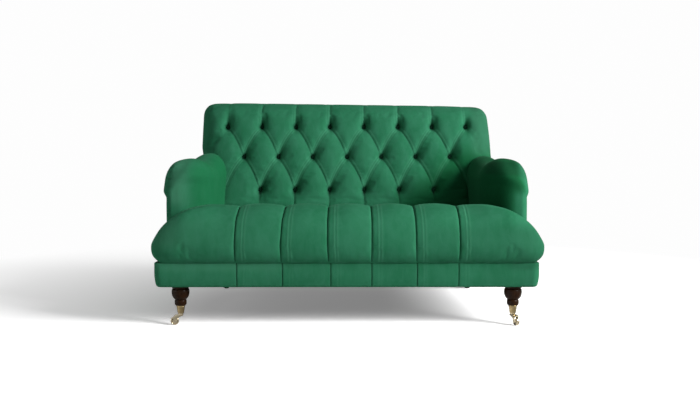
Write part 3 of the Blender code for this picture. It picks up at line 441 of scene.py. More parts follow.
def stained_hardwood(name):
    """Turned or sawn hardwood, stained near black and lacquered: faint grain along it, soft highlights."""
    tree, place = new_material(name)
    along = stretch(tree, place, (1.0, 1.0, 0.09))
    grain = noise(tree, along, 420.0, 5.0, 0.6, 0.4)
    figure = noise(tree, along, 70.0)
    stain = two_tone(tree, grain, (0.32, "0D0602"), (0.72, "38200E"))
    principled(tree, {"Base Color": blend(tree, figure, stain, srgb("241307")),
                      "Roughness": remap(tree, figure, 0.0, 1.0, 0.26, 0.42), "IOR": 1.5,
                      "Specular IOR Level": 0.05, "Coat Weight": 0.12, "Coat Roughness": 0.04,
                      "Normal": bump(tree, grain, 0.12, 0.0003)})


def planed_beech(name):
    """Planed beech: pale pinkish brown, with short darker flecks along the grain."""
    tree, place = new_material(name)
    grain = noise(tree, stretch(tree, place, (0.12, 1.0, 1.0)), 260.0, 4.0)
    principled(tree, {"Base Color": two_tone(tree, grain, (0.35, "A9794F"), (0.65, "CFA577")), "Roughness": 0.6})


def woven_cloth(name, dark, light, threads_mm, roughness):
    """A plain weave drawn from two crossed sets of threads, this many millimetres apart."""
    tree, place = new_material(name)
    waves_per_thread = 3.2
    threads = {"Vector": place, "Scale": 1.0 / (threads_mm * MM) / waves_per_thread, "Distortion": 0.6, "Detail": 1.0}
    across, along = (add_node(tree, "ShaderNodeTexWave", threads, bands_direction=axis).outputs["Fac"]
                     for axis in "XY")
    weave = times(tree, across, along)
    principled(tree, {"Base Color": blend(tree, weave, srgb(dark), srgb(light)), "Roughness": roughness,
                      "Specular IOR Level": 0.2, "Normal": bump(tree, weave, 0.5, 0.0005)})


def aged_brass(name):
    """Polished cast brass that has dulled a little: warm and clear, with fingered, rougher patches."""
    tree, place = new_material(name)
    smudge = noise(tree, place, 120.0, 4.0, 0.6)
    dulled = blend(tree, smudge, srgb("C9B488"), srgb("7D6844"))
    # below the cups, the wheels and horns are paler
    height = add_node(tree, "ShaderNodeSeparateXYZ", {0: place}).outputs["Z"]
    colour = blend(tree, remap(tree, height, 0.050, 0.040), dulled, srgb("CFC2A6"))
    principled(tree, {"Base Color": colour, "Metallic": 1.0, "Roughness": remap(tree, smudge, 0.3, 0.7, 0.06, 0.22),
                      "Normal": bump(tree, smudge, 0.08, 0.0003)})


def moulded_nylon(name):
    """Injection-moulded black nylon: an even, fine satin."""
    tree, place = new_material(name)
    principled(tree, {"Base Color": opaque(srgb("1B1B1C")), "Roughness": 0.55, "IOR": 1.53,
                      "Normal": bump(tree, noise(tree, place, 900.0), 0.15, 0.0002)})


def studio_paper(name):
    """Matt white paper that runs out into an even white far from the sofa."""
    tree, place = new_material(name)
    far = add_node(tree, "ShaderNodeVectorMath", {0: place}, operation="LENGTH").outputs["Value"]
    camera = add_node(tree, "ShaderNodeLightPath").outputs["Is Camera Ray"]
    paper = add_node(tree, "ShaderNodeBsdfDiffuse", {"Color": remap(tree, camera, 0.0, 1.0, 0.80, 1.10),
                                                     "Roughness": 0.6})
    veil = add_node(tree, "ShaderNodeEmission", {"Strength": times(tree, camera, 0.21)})
    near = add_node(tree, "ShaderNodeAddShader", {0: paper.outputs[0], 1: veil.outputs[0]})
    glow = add_node(tree, "ShaderNodeEmission", {"Color": opaque(PAPER_WHITE), "Strength": 1.0})
    seen = times(tree, camera, remap(tree, far, 0.6, 2.6))
    put_out(tree, add_node(tree, "ShaderNodeMixShader", {0: seen, 1: near.outputs[0], 2: glow.outputs[0]}))


MATERIALS = {
    "matt_white_studio_paper": studio_paper,
    VELVET: lambda name: cotton_velvet(name, button=False),
    "plain_cotton_velvet": lambda name: cotton_velvet(name, button=True),
    WOOD: stained_hardwood,
    "planed_beech": planed_beech,
    "jute_hessian": lambda name: woven_cloth(name, "7A6244", "B89A6E", 1.6, 0.95),
    "black_cambric": lambda name: woven_cloth(name, "0C0C0D", "232325", 0.8, 0.92),
    "aged_polished_brass": aged_brass,
    "moulded_black_nylon": moulded_nylon,
}


def finish_of(name):
    """The material of this name, made on first use."""
    if name not in bpy.data.materials:
        MATERIALS[name](name)
    return bpy.data.materials[name]


# ---------------------------------------------------------------- user's sizes and colours


def colour_property(name, description, code):
    """A colour that the user may change."""
    return FloatVectorProperty(name=name, description=description, subtype="COLOR", size=3, min=0.0, max=1.0,
                               default=srgb(code))


def length_property(name, description, metres):
    """A length that the user may change."""
    return FloatProperty(name=name, description=description, subtype="DISTANCE", unit="LENGTH", default=metres)


def angle_property(name, description, degrees):
    """An angle that the user may change."""
    return FloatProperty(name=name, description=description, subtype="ANGLE", default=math.radians(degrees))


class SofaVelvet(bpy.types.PropertyGroup):
    """The velvet's colours."""

    pile: colour_property("Pile", "The velvet as it lies", "1F6746")
    brushed: colour_property("Brushed", "The patches where the pile is brushed the other way", "2A7251")
    rubbed: colour_property("Rubbed", "The streaks where hands have crushed the pile", "3C7D63")
    shade: colour_property("Shade", "Between the tufts of the pile", "154E33")
    # the colour of the painted shade in the folds, the wells and other shaded places
    fold: colour_property("Fold", "Down in the folds and wells", "021B0F")


class SofaPadding(bpy.types.PropertyGroup):
    """How full and how deeply folded the upholstery is."""

    fold_depth: length_property("Fold depth", "How deep a pleat of the seat is", 0.0080)
    ply_width: length_property("Ply width", "Width of the flat ply beside a pleat", 0.0265)
    flute_rise: length_property("Flute rise", "How far the seat stands up between two pleats", 0.0085)
    back_fold: length_property("Back fold", "How deep the folds between the back's buttons are", 0.0048)
    well_depth: length_property("Well depth", "How deep a button's well is", 0.0415)
    pressure: FloatProperty(name="Stuffing", description="Pressure that blows the cloth out", default=4.0, min=0.0)
    cap: length_property("Most puff", "The furthest that the stuffing moves the cloth", 0.008)


class SofaStudio(bpy.types.PropertyGroup):
    """The camera and the lamps."""

    lens: FloatProperty(name="Lens", description="Focal length on a 36 mm sensor, in mm", default=49.11)
    distance: length_property("Distance", "From the camera to the front legs", 3.700)
    height: length_property("Height", "Of the camera above the floor", 0.756)
    tilt: angle_property("Tilt", "How far down the camera looks", 4.13)
    turn: angle_property("Turn", "How far right the camera looks", 0.192)
    key: FloatProperty(name="Key", description="Strength of the lamp at the front right, in watts", default=620.0)
    top: FloatProperty(name="Top", description="Strength of the lamp overhead, in watts", default=10.0)
    fill: FloatProperty(name="Fill", description="Strength of the weak lamp at the left, in watts", default=32.0)
    room: FloatProperty(name="Room", description="Strength of the light from all round", default=0.05)


# ---------------------------------------------------------------- seat


def pleat_depth(offset, deep, ply, crease):
    """How deep the surface lies this far to the right of a pleat: a tight tuck, a flat ply and two raised creases."""
    left = deep * (0.92 * np.exp(-np.abs(offset) / (2.4 * MM)) + 0.08 * np.exp(-np.abs(offset) / (9.0 * MM)))
    right = 0.92 * deep * np.exp(-offset / (1.5 * MM))
    right = right + 0.08 * deep * (1.0 - smooth((offset - 0.9 * ply) / (1.1 * ply)))
    return np.where(offset < 0, left, right - crease * ridges(offset, ply))


def ridges(offset, ply):
    """Where the two raised creases beside a pleat run."""
    return hump(offset, ply, 3.0 * MM) + 0.7 * hump(offset, 1.45 * ply, 3.4 * MM)


def pleat_line(offset, left, right):
    """The painted shade line down in a pleat, with its widths on the left and the right."""
    return np.exp(-np.abs(offset - 0.2 * MM) / np.where(offset < 0, left, right))


def pleated_lines(starts):
    """Grid lines from the first pleat to the last, close together beside each."""
    beside = np.array([-24, -16, -10, -6, -3.5, -1.6, -0.4, 0.6, 1.8, 3.6, 7, 12, 17, 21, 24, 26.5, 29, 32, 35.5,
                       38.5, 41.5, 46]) * MM
    lines = []
    for i, start in enumerate(starts):
        lines += list(start + beside)
        if i < len(starts) - 1:
            lines += spread(start + beside[-1], starts[i + 1] + beside[0], 10)[:-1]
    return lines


def seat_grid():
    """A box with grid lines where the seat's pleats and rolls need them."""
    lines = pleated_lines(CROWN_PLEATS)
    ends = []
    for line, end, inward in ((lines[-1], SEAT_RIGHT, -SEAT_END_ROLL), (lines[0], SEAT_LEFT, SEAT_END_ROLL)):
        ends.append(spread(line, end + inward, 8) + roll(end + inward, end, 18))
    rear_y = BACK_FACE_Y - 0.03
    ys = roll(SEAT_INNER_Y, SEAT_FRONT_Y, 14)[::-1] + [SEAT_INNER_Y] + spread(SEAT_INNER_Y, EAR_REAR_Y, 6)
    ys += [EAR_REAR_Y + CLEAR] + spread(EAR_REAR_Y + CLEAR, rear_y, 22) + spread(rear_y, BACK_FACE_Y, 4)
    steps = np.sin(np.radians(np.arange(9, 0, -1) * 10.0))
    top_inner = SEAT_TOP_Z - SEAT_TOP_ROLL
    zs = list(TUCK_Z - SEAT_TUCK * steps) + [TUCK_Z] + spread(TUCK_Z, top_inner, 8) + roll(top_inner, SEAT_TOP_Z, 14)
    return box_grid(ends[1][::-1] + lines + ends[0], ys, zs)


def seat_form(points, in_front):
    """The plain cushion: rounded at the front, the top and the ends, and tucked in to the seam below."""
    zero = np.zeros(len(points))
    end = np.where(in_front, mix(0.095, SEAT_END_ROLL, smooth((points[:, 2] - 0.285) / 0.085)), 0.0)
    boxed = points.copy()
    boxed[:, 2] = np.maximum(points[:, 2], TUCK_Z)
    front_turn = mix(SEAT_FRONT_ROLL, 0.052, smooth((np.abs(points[:, 0]) - 0.46) / 0.20))
    place, out = rounded(boxed, (SEAT_LEFT, SEAT_FRONT_Y, SEAT_LOW.z), (SEAT_RIGHT, BACK_FACE_Y, SEAT_TOP_Z),
                         (end, front_turn, zero), (end, zero + 0.030, zero + SEAT_TOP_ROLL))
    tucked = points[:, 2] < TUCK_Z
    # at the seam the cushion follows the band's squarer corners
    width, front_y = FRONT_HALF_WIDTH - 1 * MM, BASE_FRONT_Y + 1 * MM
    at_band = boxed.copy()
    at_band[:, 0] *= width / SEAT_HIGH.x
    forward = np.clip((EAR_REAR_Y - boxed[:, 1]) / (EAR_REAR_Y - SEAT_FRONT_Y), 0, 1)
    at_band[:, 1] += (front_y - SEAT_FRONT_Y) * forward
    corner = np.where(in_front, 0.060, 0.0)
    seam, _ = rounded(at_band, (-width, front_y, SEAT_LOW.z), (width, BACK_FACE_Y, SEAT_TOP_Z),
                      (corner, corner, zero), (corner, zero, zero))
    follow = np.where(tucked, (TUCK_Z - points[:, 2]) / SEAT_TUCK, 0.0) ** 3.0 * in_front
    place[:, 0] = mix(place[:, 0], seam[:, 0], follow)
    place[:, 1] = mix(place[:, 1], seam[:, 1], follow)
    place[:, 2] = np.where(tucked, points[:, 2], place[:, 2])
    return place, out


def seat_surface(padding):
    """The seat's points and faces, and how far each point is in a pleat's line or on a raised crease: the strengths
    of their painted shade and painted highlight.
    """
    points, quads = seat_grid()
    in_front = points[:, 1] <= EAR_REAR_Y + CLEAR / 2
    place, out = seat_form(points, in_front)
    # how far round the seat a point lies: 0 at the seam, 1 at the crown, 2 at the back
    past = np.clip((place[:, 1] - SEAT_INNER_Y) / (BACK_FACE_Y - SEAT_INNER_Y), 0.0, 1.0)
    level = np.clip((place[:, 2] - SEAM_Z) / (SEAT_TOP_Z - SEAM_Z), 0.0, 1.0) + past
    # the pleats fan out from the back to the seam, and the flutes between them follow
    actual = np.stack([np.interp(level, PLEAT_LEVELS, row) for row in PLEAT_X], axis=1)
    shift = actual - CROWN_PLEATS
    x = place[:, 0]
    flute = np.clip(np.searchsorted(CROWN_PLEATS, x) - 1, 0, len(CROWN_PLEATS) - 2)
    share = (x - CROWN_PLEATS[flute]) / (CROWN_PLEATS[flute + 1] - CROWN_PLEATS[flute])
    share = np.clip(share, 0.0, 1.0)
    rows = np.arange(len(x))
    moved = x + mix(shift[rows, flute], shift[rows, flute + 1], share)
    outer = np.abs(x) > CROWN_PLEATS[-1]
    beyond = np.clip((np.abs(x) - CROWN_PLEATS[-1]) / (SEAT_HIGH.x - CROWN_PLEATS[-1]), 0.0, 1.0)
    moved = np.where(outer, x + np.where(x > 0, shift[:, -1], shift[:, 0]) * (1.0 - beyond), moved)
    # behind the ears the seat fits between the arms
    room = half_width(place[:, 1]) + ARM_OVERHANG - ARM_WIDTH - CLEAR
    last = np.abs(np.where(x > 0, actual[:, -1], actual[:, 0]))
    moved = np.where(outer & ~in_front, np.sign(x) * mix(last, room, beyond), moved)
    # flutes and pleats
    offset = x - CROWN_PLEATS[np.abs(x[:, None] - CROWN_PLEATS).argmin(axis=1)]
    above_seam = place[:, 2] - SEAT_LOW.z
    shown = smooth(above_seam / 0.012)
    depth = pleat_depth(offset, padding.fold_depth, padding.ply_width, 0.8 * MM) * (1.0 - 0.45 * smooth(past * 1.5))
    flute_shape = np.sin(math.pi * np.where(outer, np.clip(beyond * 1.25, 0.0, 1.0), share)) ** 1.2
    puff = padding.flute_rise * flute_shape * np.where(outer, 0.6, 1.0)
    puff = puff * mix(0.45, 1.0, smooth((level - 0.60) / 0.35))
    stand = (puff - depth) * shown * (points[:, 1] < BACK_FACE_Y)
    result = place.copy()
    result[:, 0] = moved
    result[:, 1] += stand * np.minimum(out[:, 1], 0.0)
    result[:, 2] += stand * np.maximum(out[:, 2], 0.0)
    # the ends slope down and bulge low
    drop = 0.18 * np.maximum(np.abs(moved) - 0.545, 0.0) * in_front
    height = result[:, 2] - SEAT_LOW.z
    result[:, 2] -= drop * smooth((height - 0.035) / 0.11)
    # the cloth is gathered along the seam, most of all round the ends
    height = result[:, 2] - SEAT_LOW.z
    near_seam = np.exp(-(height / 0.020) ** 1.5) * smooth(height / 0.004)
    ends = smooth((np.abs(moved) - 0.62) / 0.08)
    waves = wander(np.stack([moved, 1.3 * result[:, 1], np.zeros(len(x))], axis=1), 0.026, 3)
    gathers = (0.9 * MM + 2.6 * MM * ends) * near_seam * waves
    result[:, 1] += gathers * np.minimum(out[:, 1], 0.0)
    result[:, 0] -= gathers * out[:, 0]
    # the top falls towards the back, and the rear end leans with the back's face
    raised = np.clip((result[:, 2] - TUCK_Z) / (SEAT_TOP_Z - TUCK_Z), 0.0, None)
    result[:, 2] -= 0.105 * np.maximum(result[:, 1] - SEAT_INNER_Y, 0.0) * raised
    along = np.clip((result[:, 1] - EAR_REAR_Y) / (BACK_FACE_Y - EAR_REAR_Y), 0.0, 1.0)
    rear = mix(EAR_REAR_Y, back_face_y(result[:, 2]) - CLEAR, along)
    result[:, 1] = np.where(in_front, result[:, 1], rear)
    # painted shade down each pleat's line, and painted highlight on the raised creases beside it
    fold = pleat_line(offset, 1.8 * MM, 1.1 * MM) * shown
    ridge = ridges(offset, padding.ply_width) * shown * (1.0 - 0.7 * smooth(past * 3.0))
    return result, quads, fold, ridge


class SOFA_OT_seat(bpy.types.Operator):
    """Upholster the seat"""

    bl_idname = "sofa.seat"
    bl_label = "Seat cushion"

    def execute(self, context):
        padding = context.scene.sofa_padding
        result, quads, fold, ridge = seat_surface(padding)
        seat = new_mesh_object("velvet_seat", result, quads)
        x, y, z = result.T
        # painted light on the front towards the left end, and painted highlights on the raised creases
        paler = 0.15 * smooth((-x - 0.30) / 0.20) + 0.15 * smooth((-x - 0.54) / 0.08)
        paler += 0.35 * smooth((-x - 0.62) / 0.06)
        paler *= 0.4 * smooth((z - 0.28) / 0.06) * (1.0 - smooth((z - 0.40) / 0.05))
        paint(seat, "painted_highlight", np.maximum(0.28 * ridge, paler))
        # painted shade on the front towards the right end, low on the front just above the seam, and down each
        # pleat's line
        darker = 0.15 * smooth((x - 0.22) / 0.20) + 0.16 * smooth((x - 0.56) / 0.14)
        darker *= 1.0 - smooth((z - 0.36) / 0.06)
        belly_shade = 0.03 * (1.0 - smooth((z - SEAT_LOW.z) / 0.045)) * (y < HELD_BEHIND_Y)
        paint(seat, "fold_depth", np.maximum(0.55 * fold, belly_shade + darker))
        # the simulation leaves the seam, the pleats and everything behind the ears alone
        seam = 1.0 - smooth((z - SEAT_LOW.z) / 0.030)
        behind = smooth((y - HELD_BEHIND_Y) / 0.02)
        held = np.clip(np.maximum(np.maximum(seam, behind), fold ** 0.4), 0.0, 1.0)
        inflate(seat, held, 0.8 * padding.pressure, 0.6 * padding.cap, 0.008)
        refine(seat)
        finish(seat, "sofa", VELVET, ["seat_cushion"])
        return {"FINISHED"}


# ---------------------------------------------------------------- back


def fold_lines(x, z):
    """How far each point lies from the falling and the rising folds between the buttons, and where those run.

    The folds are counted in diamonds across, so each whole number of "fall" or "rise" is a fold.
    """
    low, middle, high = BUTTON_ROW_Z
    row = np.clip((z - low) / (middle - low), 0, 1) + np.clip((z - middle) / (high - middle), 0, 1)
    across = x / DIAMOND_WIDTH + 0.5
    bow = 0.066
    slanted = smooth(np.clip(row, 0, 1) * np.clip(2 - row, 0, 1) * 8)
    falling, rising = across + row / 2, across - row / 2
    fall = falling - bow * np.abs(np.sin(math.pi * rising)) * slanted
    rise = rising + bow * np.abs(np.sin(math.pi * falling)) * slanted
    last = BUTTONS_IN_LOWEST_ROW + 1
    fall_low, fall_high = -last / 2 + 1.5, last / 2 + 1.5
    rise_low, rise_high = -last / 2 - 0.5, last / 2 - 0.5
    fall_on = smooth((fall - fall_low + 0.5) / 0.3) * smooth((fall_high - 0.5 - fall) / 0.3)
    fall_on *= smooth((rise - rise_low + 0.1) / 0.2)
    rise_on = smooth((rise - rise_low - 0.5) / 0.3) * smooth((rise_high + 0.5 - rise) / 0.3)
    rise_on *= smooth((fall_high + 0.1 - fall) / 0.2)
    beside_fall = (fall - np.round(fall)) * FOLD_SPACING
    beside_rise = (rise - np.round(rise)) * FOLD_SPACING
    return fall, rise, beside_fall, beside_rise, fall_on, rise_on, slanted


def gather(x, z):
    """Draws the mesh's lines in towards the sharp folds, so that each fold has a crisp edge."""
    _, _, beside, _, fall_on, _, _ = fold_lines(x, z)
    return x - 0.6 * beside * hump(beside, 0.0, 11 * MM) * fall_on * DIAMOND_WIDTH / FOLD_SPACING


def button_wells(x, z):
    """How far into a button's well each point is, and the painted shade spot in it; wells are drawn out upwards."""
    deepest = np.zeros_like(x)
    spot = np.zeros_like(x)
    for index, row_z in enumerate(BUTTON_ROW_Z):
        count = BUTTONS_IN_LOWEST_ROW + index
        column = np.clip(np.round(x / DIAMOND_WIDTH + (count - 1) / 2), 0, count - 1) - (count - 1) / 2
        dx = x - column * DIAMOND_WIDTH
        dz = z - row_z
        up = np.maximum(dz, 0.0)
        down = np.maximum(-dz, 0.0) * (index == 0)
        across = dx - (0.04 if index == 2 else 0.26) * up
        seat = np.exp(-(np.hypot(dx, dz) / (16 * MM)) ** 3)
        drop = np.hypot(across / np.where(across < 0, 12 * MM, 20 * MM), dz / np.where(dz > 0, 43 * MM, 20 * MM))
        deepest = np.maximum(deepest, np.maximum(seat, 0.86 * np.exp(-drop ** 1.7)))
        narrow = np.hypot((across - 3 * MM * smooth(up / 0.02)) * (1.0 + 9.0 * up + 14.0 * down),
                          np.where(dz > 0, dz / 2.3, dz / (2.4 if index == 0 else 1.0)))
        spot = np.maximum(spot, hump(narrow, 0.0, 9 * MM))
    return deepest, spot


def tuft(x, z, padding):
    """How deep the buttoned face lies behind its crests, and the painted shade for how far into a fold or well it is.
    """
    fall, rise, beside, beside_soft, fall_on, rise_on, slanted = fold_lines(x, z)
    fall_puff = mix(1.0, np.abs(np.sin(math.pi * fall)), fall_on)
    rise_puff = mix(1.0, np.abs(np.sin(math.pi * rise)), rise_on)
    below = smooth((z - SEAT_TOP_Z) / TUFT_DEPTH + 1.0)
    over_top = smooth((z - BUTTON_ROW_Z[2]) / 0.06)
    hollow = 0.14 * TUFT_DEPTH * (1.0 - np.sqrt(fall_puff * rise_puff)) * below * (1.0 - 0.55 * over_top)
    # sharp tucks that fall to the right, each with a flat ply on its right
    ply = 0.30 * (1.0 - smooth((beside - 12 * MM) / (12 * MM)))
    ply += 0.17 * hump(beside, 17 * MM, 2.0 * MM)
    tight = np.where(beside < 0, np.exp(beside / (6.0 * MM)), 0.70 * np.exp(-beside / (1.3 * MM)) + ply)
    # softer double creases that fall to the left
    soft = 0.24 * hump(beside_soft, 0.0, 7 * MM)
    for place, width, strength in ((3, 1.9, 0.26), (-10, 2.1, 0.22), (-17, 2.1, 0.10)):
        soft += strength * hump(beside_soft, place * MM, width * MM)
    tight_share = fall_on * mix(mix(1.0, 0.45, over_top), 1.0, slanted)
    soft_share = rise_on * mix(mix(0.25, 0.6, over_top), 1.0, slanted)
    fold = padding.back_fold * (tight * tight_share + soft * soft_share)
    deepest, spot = button_wells(x, z)
    # painted shade down each sharp fold, added to the painted shade in each well
    line = np.exp(-np.abs(beside - 0.4 * MM) / np.where(beside < 0, 2.6 * MM, 1.2 * MM)) * tight_share
    return mix(hollow + fold, padding.well_depth, deepest), np.clip(1.1 * spot + 0.38 * line, 0.0, 1.0)


def thin_creases(x, z):
    """Where the painted highlights on the edges and the painted shade lines of the thin plies beside the folds run.
    """
    _, _, beside, beside_soft, fall_on, rise_on, slanted = fold_lines(x, z)
    above_buttons = z - BUTTON_ROW_Z[2]
    fall_share = fall_on * slanted
    rise_share = rise_on * np.maximum(slanted, 0.7 * smooth(above_buttons / 0.03))
    pale = hump(beside, 11 * MM, 3.0 * MM) * fall_share
    dark = hump(beside, 15 * MM, 2.0 * MM) * fall_share
    dark = np.maximum(dark, 2.4 * hump(beside, 0.3 * MM, 1.8 * MM) * fall_share)
    over_top = smooth((above_buttons - 0.010) / 0.020) * fall_on
    dark = np.maximum(dark, 1.6 * hump(beside, 4 * MM, 2.2 * MM) * over_top)
    for place, strength in ((-13, 0.7), (-4, 1.0), (5, 0.7)):
        pale = np.maximum(pale, strength * hump(beside_soft, place * MM, 2.6 * MM) * rise_share)
        dark = np.maximum(dark, strength * hump(beside_soft, (place + 4) * MM, 1.8 * MM) * rise_share)
    return pale, dark


def back_surface(padding):
    """The back's points and faces: the buttoned face, wrapped over the top and round the ends."""
    thick = PAD_THICK + POST_THICK + PANEL_THICK
    half = BACK_HIGH.x
    top_roll, end_roll_top, end_roll_low, front_roll = 0.055, 0.055, 0.012, thick / 3
    top_inner, end_inner = BACK_HIGH.z - top_roll, half - end_roll_top
    # the post and the outside panel stand in a hollow of the back's rear, which starts at these places
    hollow_x, hollow_z = half - 0.030, BACK_HIGH.z - PAD_THICK
    side = spread(0.0, end_inner, 92) + roll(end_inner, half, 9)
    side = sorted(side + [hollow_x - 0.1 * MM, hollow_x + 0.1 * MM])
    ys = roll(front_roll, 0.0, 6)[::-1] + [front_roll] + spread(front_roll, thick - 0.025, 4)
    ys += spread(thick - 0.025, thick, 3)
    zs = [BACK_LOW.z] + spread(BACK_LOW.z, 0.415, 6) + spread(0.415, top_inner, 62)
    zs = sorted(zs + roll(top_inner, BACK_HIGH.z, 10) + [hollow_z - 0.1 * MM, hollow_z + 0.1 * MM])
    points, quads = box_grid([-x for x in side[::-1]] + [0.0] + side, ys, zs)
    zero = np.zeros(len(points))
    end = mix(end_roll_low, end_roll_top, smooth((points[:, 2] - ARM_TOP_Z) / end_roll_top + 0.5))
    place, out = rounded(points, (-half, 0.0, BACK_LOW.z), (half, thick, BACK_HIGH.z),
                         (end, zero + front_roll, zero), (end, zero + 0.022, zero + top_roll))
    place[:, 0] = mix(place[:, 0], gather(place[:, 0], place[:, 2]), np.clip(-out[:, 1], 0.0, 1.0))
    # the ends and the top lean away softly, like a pillow
    front = padded_face_y(place[:, 0], place[:, 2])
    fade = np.clip(1.0 - place[:, 1] / (2 * front_roll), 0.0, 1.0)
    depth, dark = tuft(place[:, 0], place[:, 2], padding)
    depth = depth * fade
    result = place.copy()
    result[:, 1] = mix(front, back_outer_y(place[:, 2]), place[:, 1] / thick) - depth * np.minimum(out[:, 1], 0.0)
    result[:, 2] -= depth * np.maximum(out[:, 2], 0.0) * 0.3
    # the top edge falls a little towards the right, and its left end is fuller
    above = smooth((result[:, 2] - 0.790) / 0.060)
    result[:, 2] += (0.009 - 0.018 * (result[:, 0] / half + 1.0) / 2) * above
    result[:, 0] -= 0.007 * smooth((-result[:, 0] - 0.50) / 0.15) * smooth((result[:, 2] - 0.64) / 0.05)
    result[:, 0] += mix(0.001, -0.008, smooth((result[:, 2] - 0.66) / 0.18)) * smooth((result[:, 0] - 0.50) / 0.15)
    rear = (points[:, 1] > thick - 0.1 * MM) & (np.abs(points[:, 0]) < hollow_x) & (points[:, 2] < hollow_z)
    post_front = back_outer_y(result[:, 2]) - PANEL_THICK - CLEAR - POST_THICK - CLEAR
    result[:, 1] = np.where(rear, post_front, result[:, 1])
    # the last value is the painted shade in the folds and wells
    return result, quads, points[:, 1], dark * fade


class SOFA_OT_back(bpy.types.Operator):
    """Upholster the buttoned back"""

    bl_idname = "sofa.back"
    bl_label = "Buttoned back"

    def execute(self, context):
        padding = context.scene.sofa_padding
        result, quads, layer, dark = back_surface(padding)
        back = new_mesh_object("buttoned_velvet_back", result, quads)
        x, _, z = result.T
        # painted shadow of the right arm in the lower right corner, and painted sheen with painted shade on the right
        # end; painted shade in the folds and wells
        corner = smooth((x - 0.30) / 0.20 + (0.60 - z) / 0.20) * smooth((0.72 - z) / 0.10)
        end = smooth((x - 0.54) / 0.05) * smooth((z - 0.62) / 0.05)
        paint(back, "nap_and_painted_shade", 0.9 * corner)
        paint(back, "painted_highlight", 0.20 * end)
        paint(back, "fold_depth", np.maximum(np.maximum(dark, 0.35 * corner), 0.34 * end))
        # the simulation leaves the hidden rear, the low part and the folds alone
        behind = smooth((layer - 0.050) / 0.02)
        low = 1.0 - smooth((z - 0.40) / 0.04)
        held = np.clip(np.maximum(np.maximum(behind, low), smooth(dark * 2.0)), 0.0, 1.0)
        inflate(back, held, 0.5 * padding.pressure, 0.6 * padding.cap, 0.01)
        refine(back)
        x, y, z = places(back).T
        front = 1.0 - smooth((y - padded_face_y(x, z) - 0.030) / 0.020)
        # painted highlights on the edges of the thin plies and painted shade lines beside them, on the face only
        pale, dark = thin_creases(x, z)
        paint(back, "painted_highlight", np.maximum(painted(back, "painted_highlight"), 0.22 * pale * front))
        paint(back, "fold_depth", np.maximum(painted(back, "fold_depth"), 0.22 * dark * front))
        finish(back, "sofa", VELVET, ["back_cushion"])
        return {"FINISHED"}


class SOFA_OT_buttons(bpy.types.Operator):
    """Cover the back's buttons"""

    bl_idname = "sofa.buttons"
    bl_label = "Covered buttons"

    def execute(self, context):
        # radius and height in mm; eight soft tucks run over the rim, where the cloth is gathered
        rings = ((0.0, 0.0), (9.6, 0.0), (10.5, 0.9), (10.6, 2.2), (10.0, 3.9), (8.3, 5.4), (5.6, 6.5), (2.6, 7.0),
                 (0.0, 7.05))
        first = turned("velvet_button", rings, 32, MM)
        points = places(first)
        angle = np.arctan2(points[:, 1], points[:, 0])
        rim = smooth((np.hypot(points[:, 0], points[:, 1]) / MM - 4.0) / 5.0) * (points[:, 2] > 0.5 * MM)
        points[:, :2] *= (1.0 - 0.022 * rim * (0.5 + 0.5 * np.cos(8 * angle)))[:, None]
        set_places(first, points)
        turn = Matrix.Rotation(math.radians(90.0 - FACE_RAKE), 4, "X")
        outward = turn @ Vector((0.0, 0.0, 1.0))
        for name in sorted(n for n in frame["nodes"] if n.startswith("back_button_")):
            low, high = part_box(name)
            button = first.copy()
            button.data = first.data.copy()
            button.name = name.replace("back_button", "velvet_button")
            context.scene.collection.objects.link(button)
            button.data.transform(Matrix.Translation((low + high) / 2 - outward * 3.5 * MM) @ turn)
            finish(button, "sofa", "plain_cotton_velvet", [name])
        bpy.data.objects.remove(first)
        return {"FINISHED"}


# ---------------------------------------------------------------- arms and base


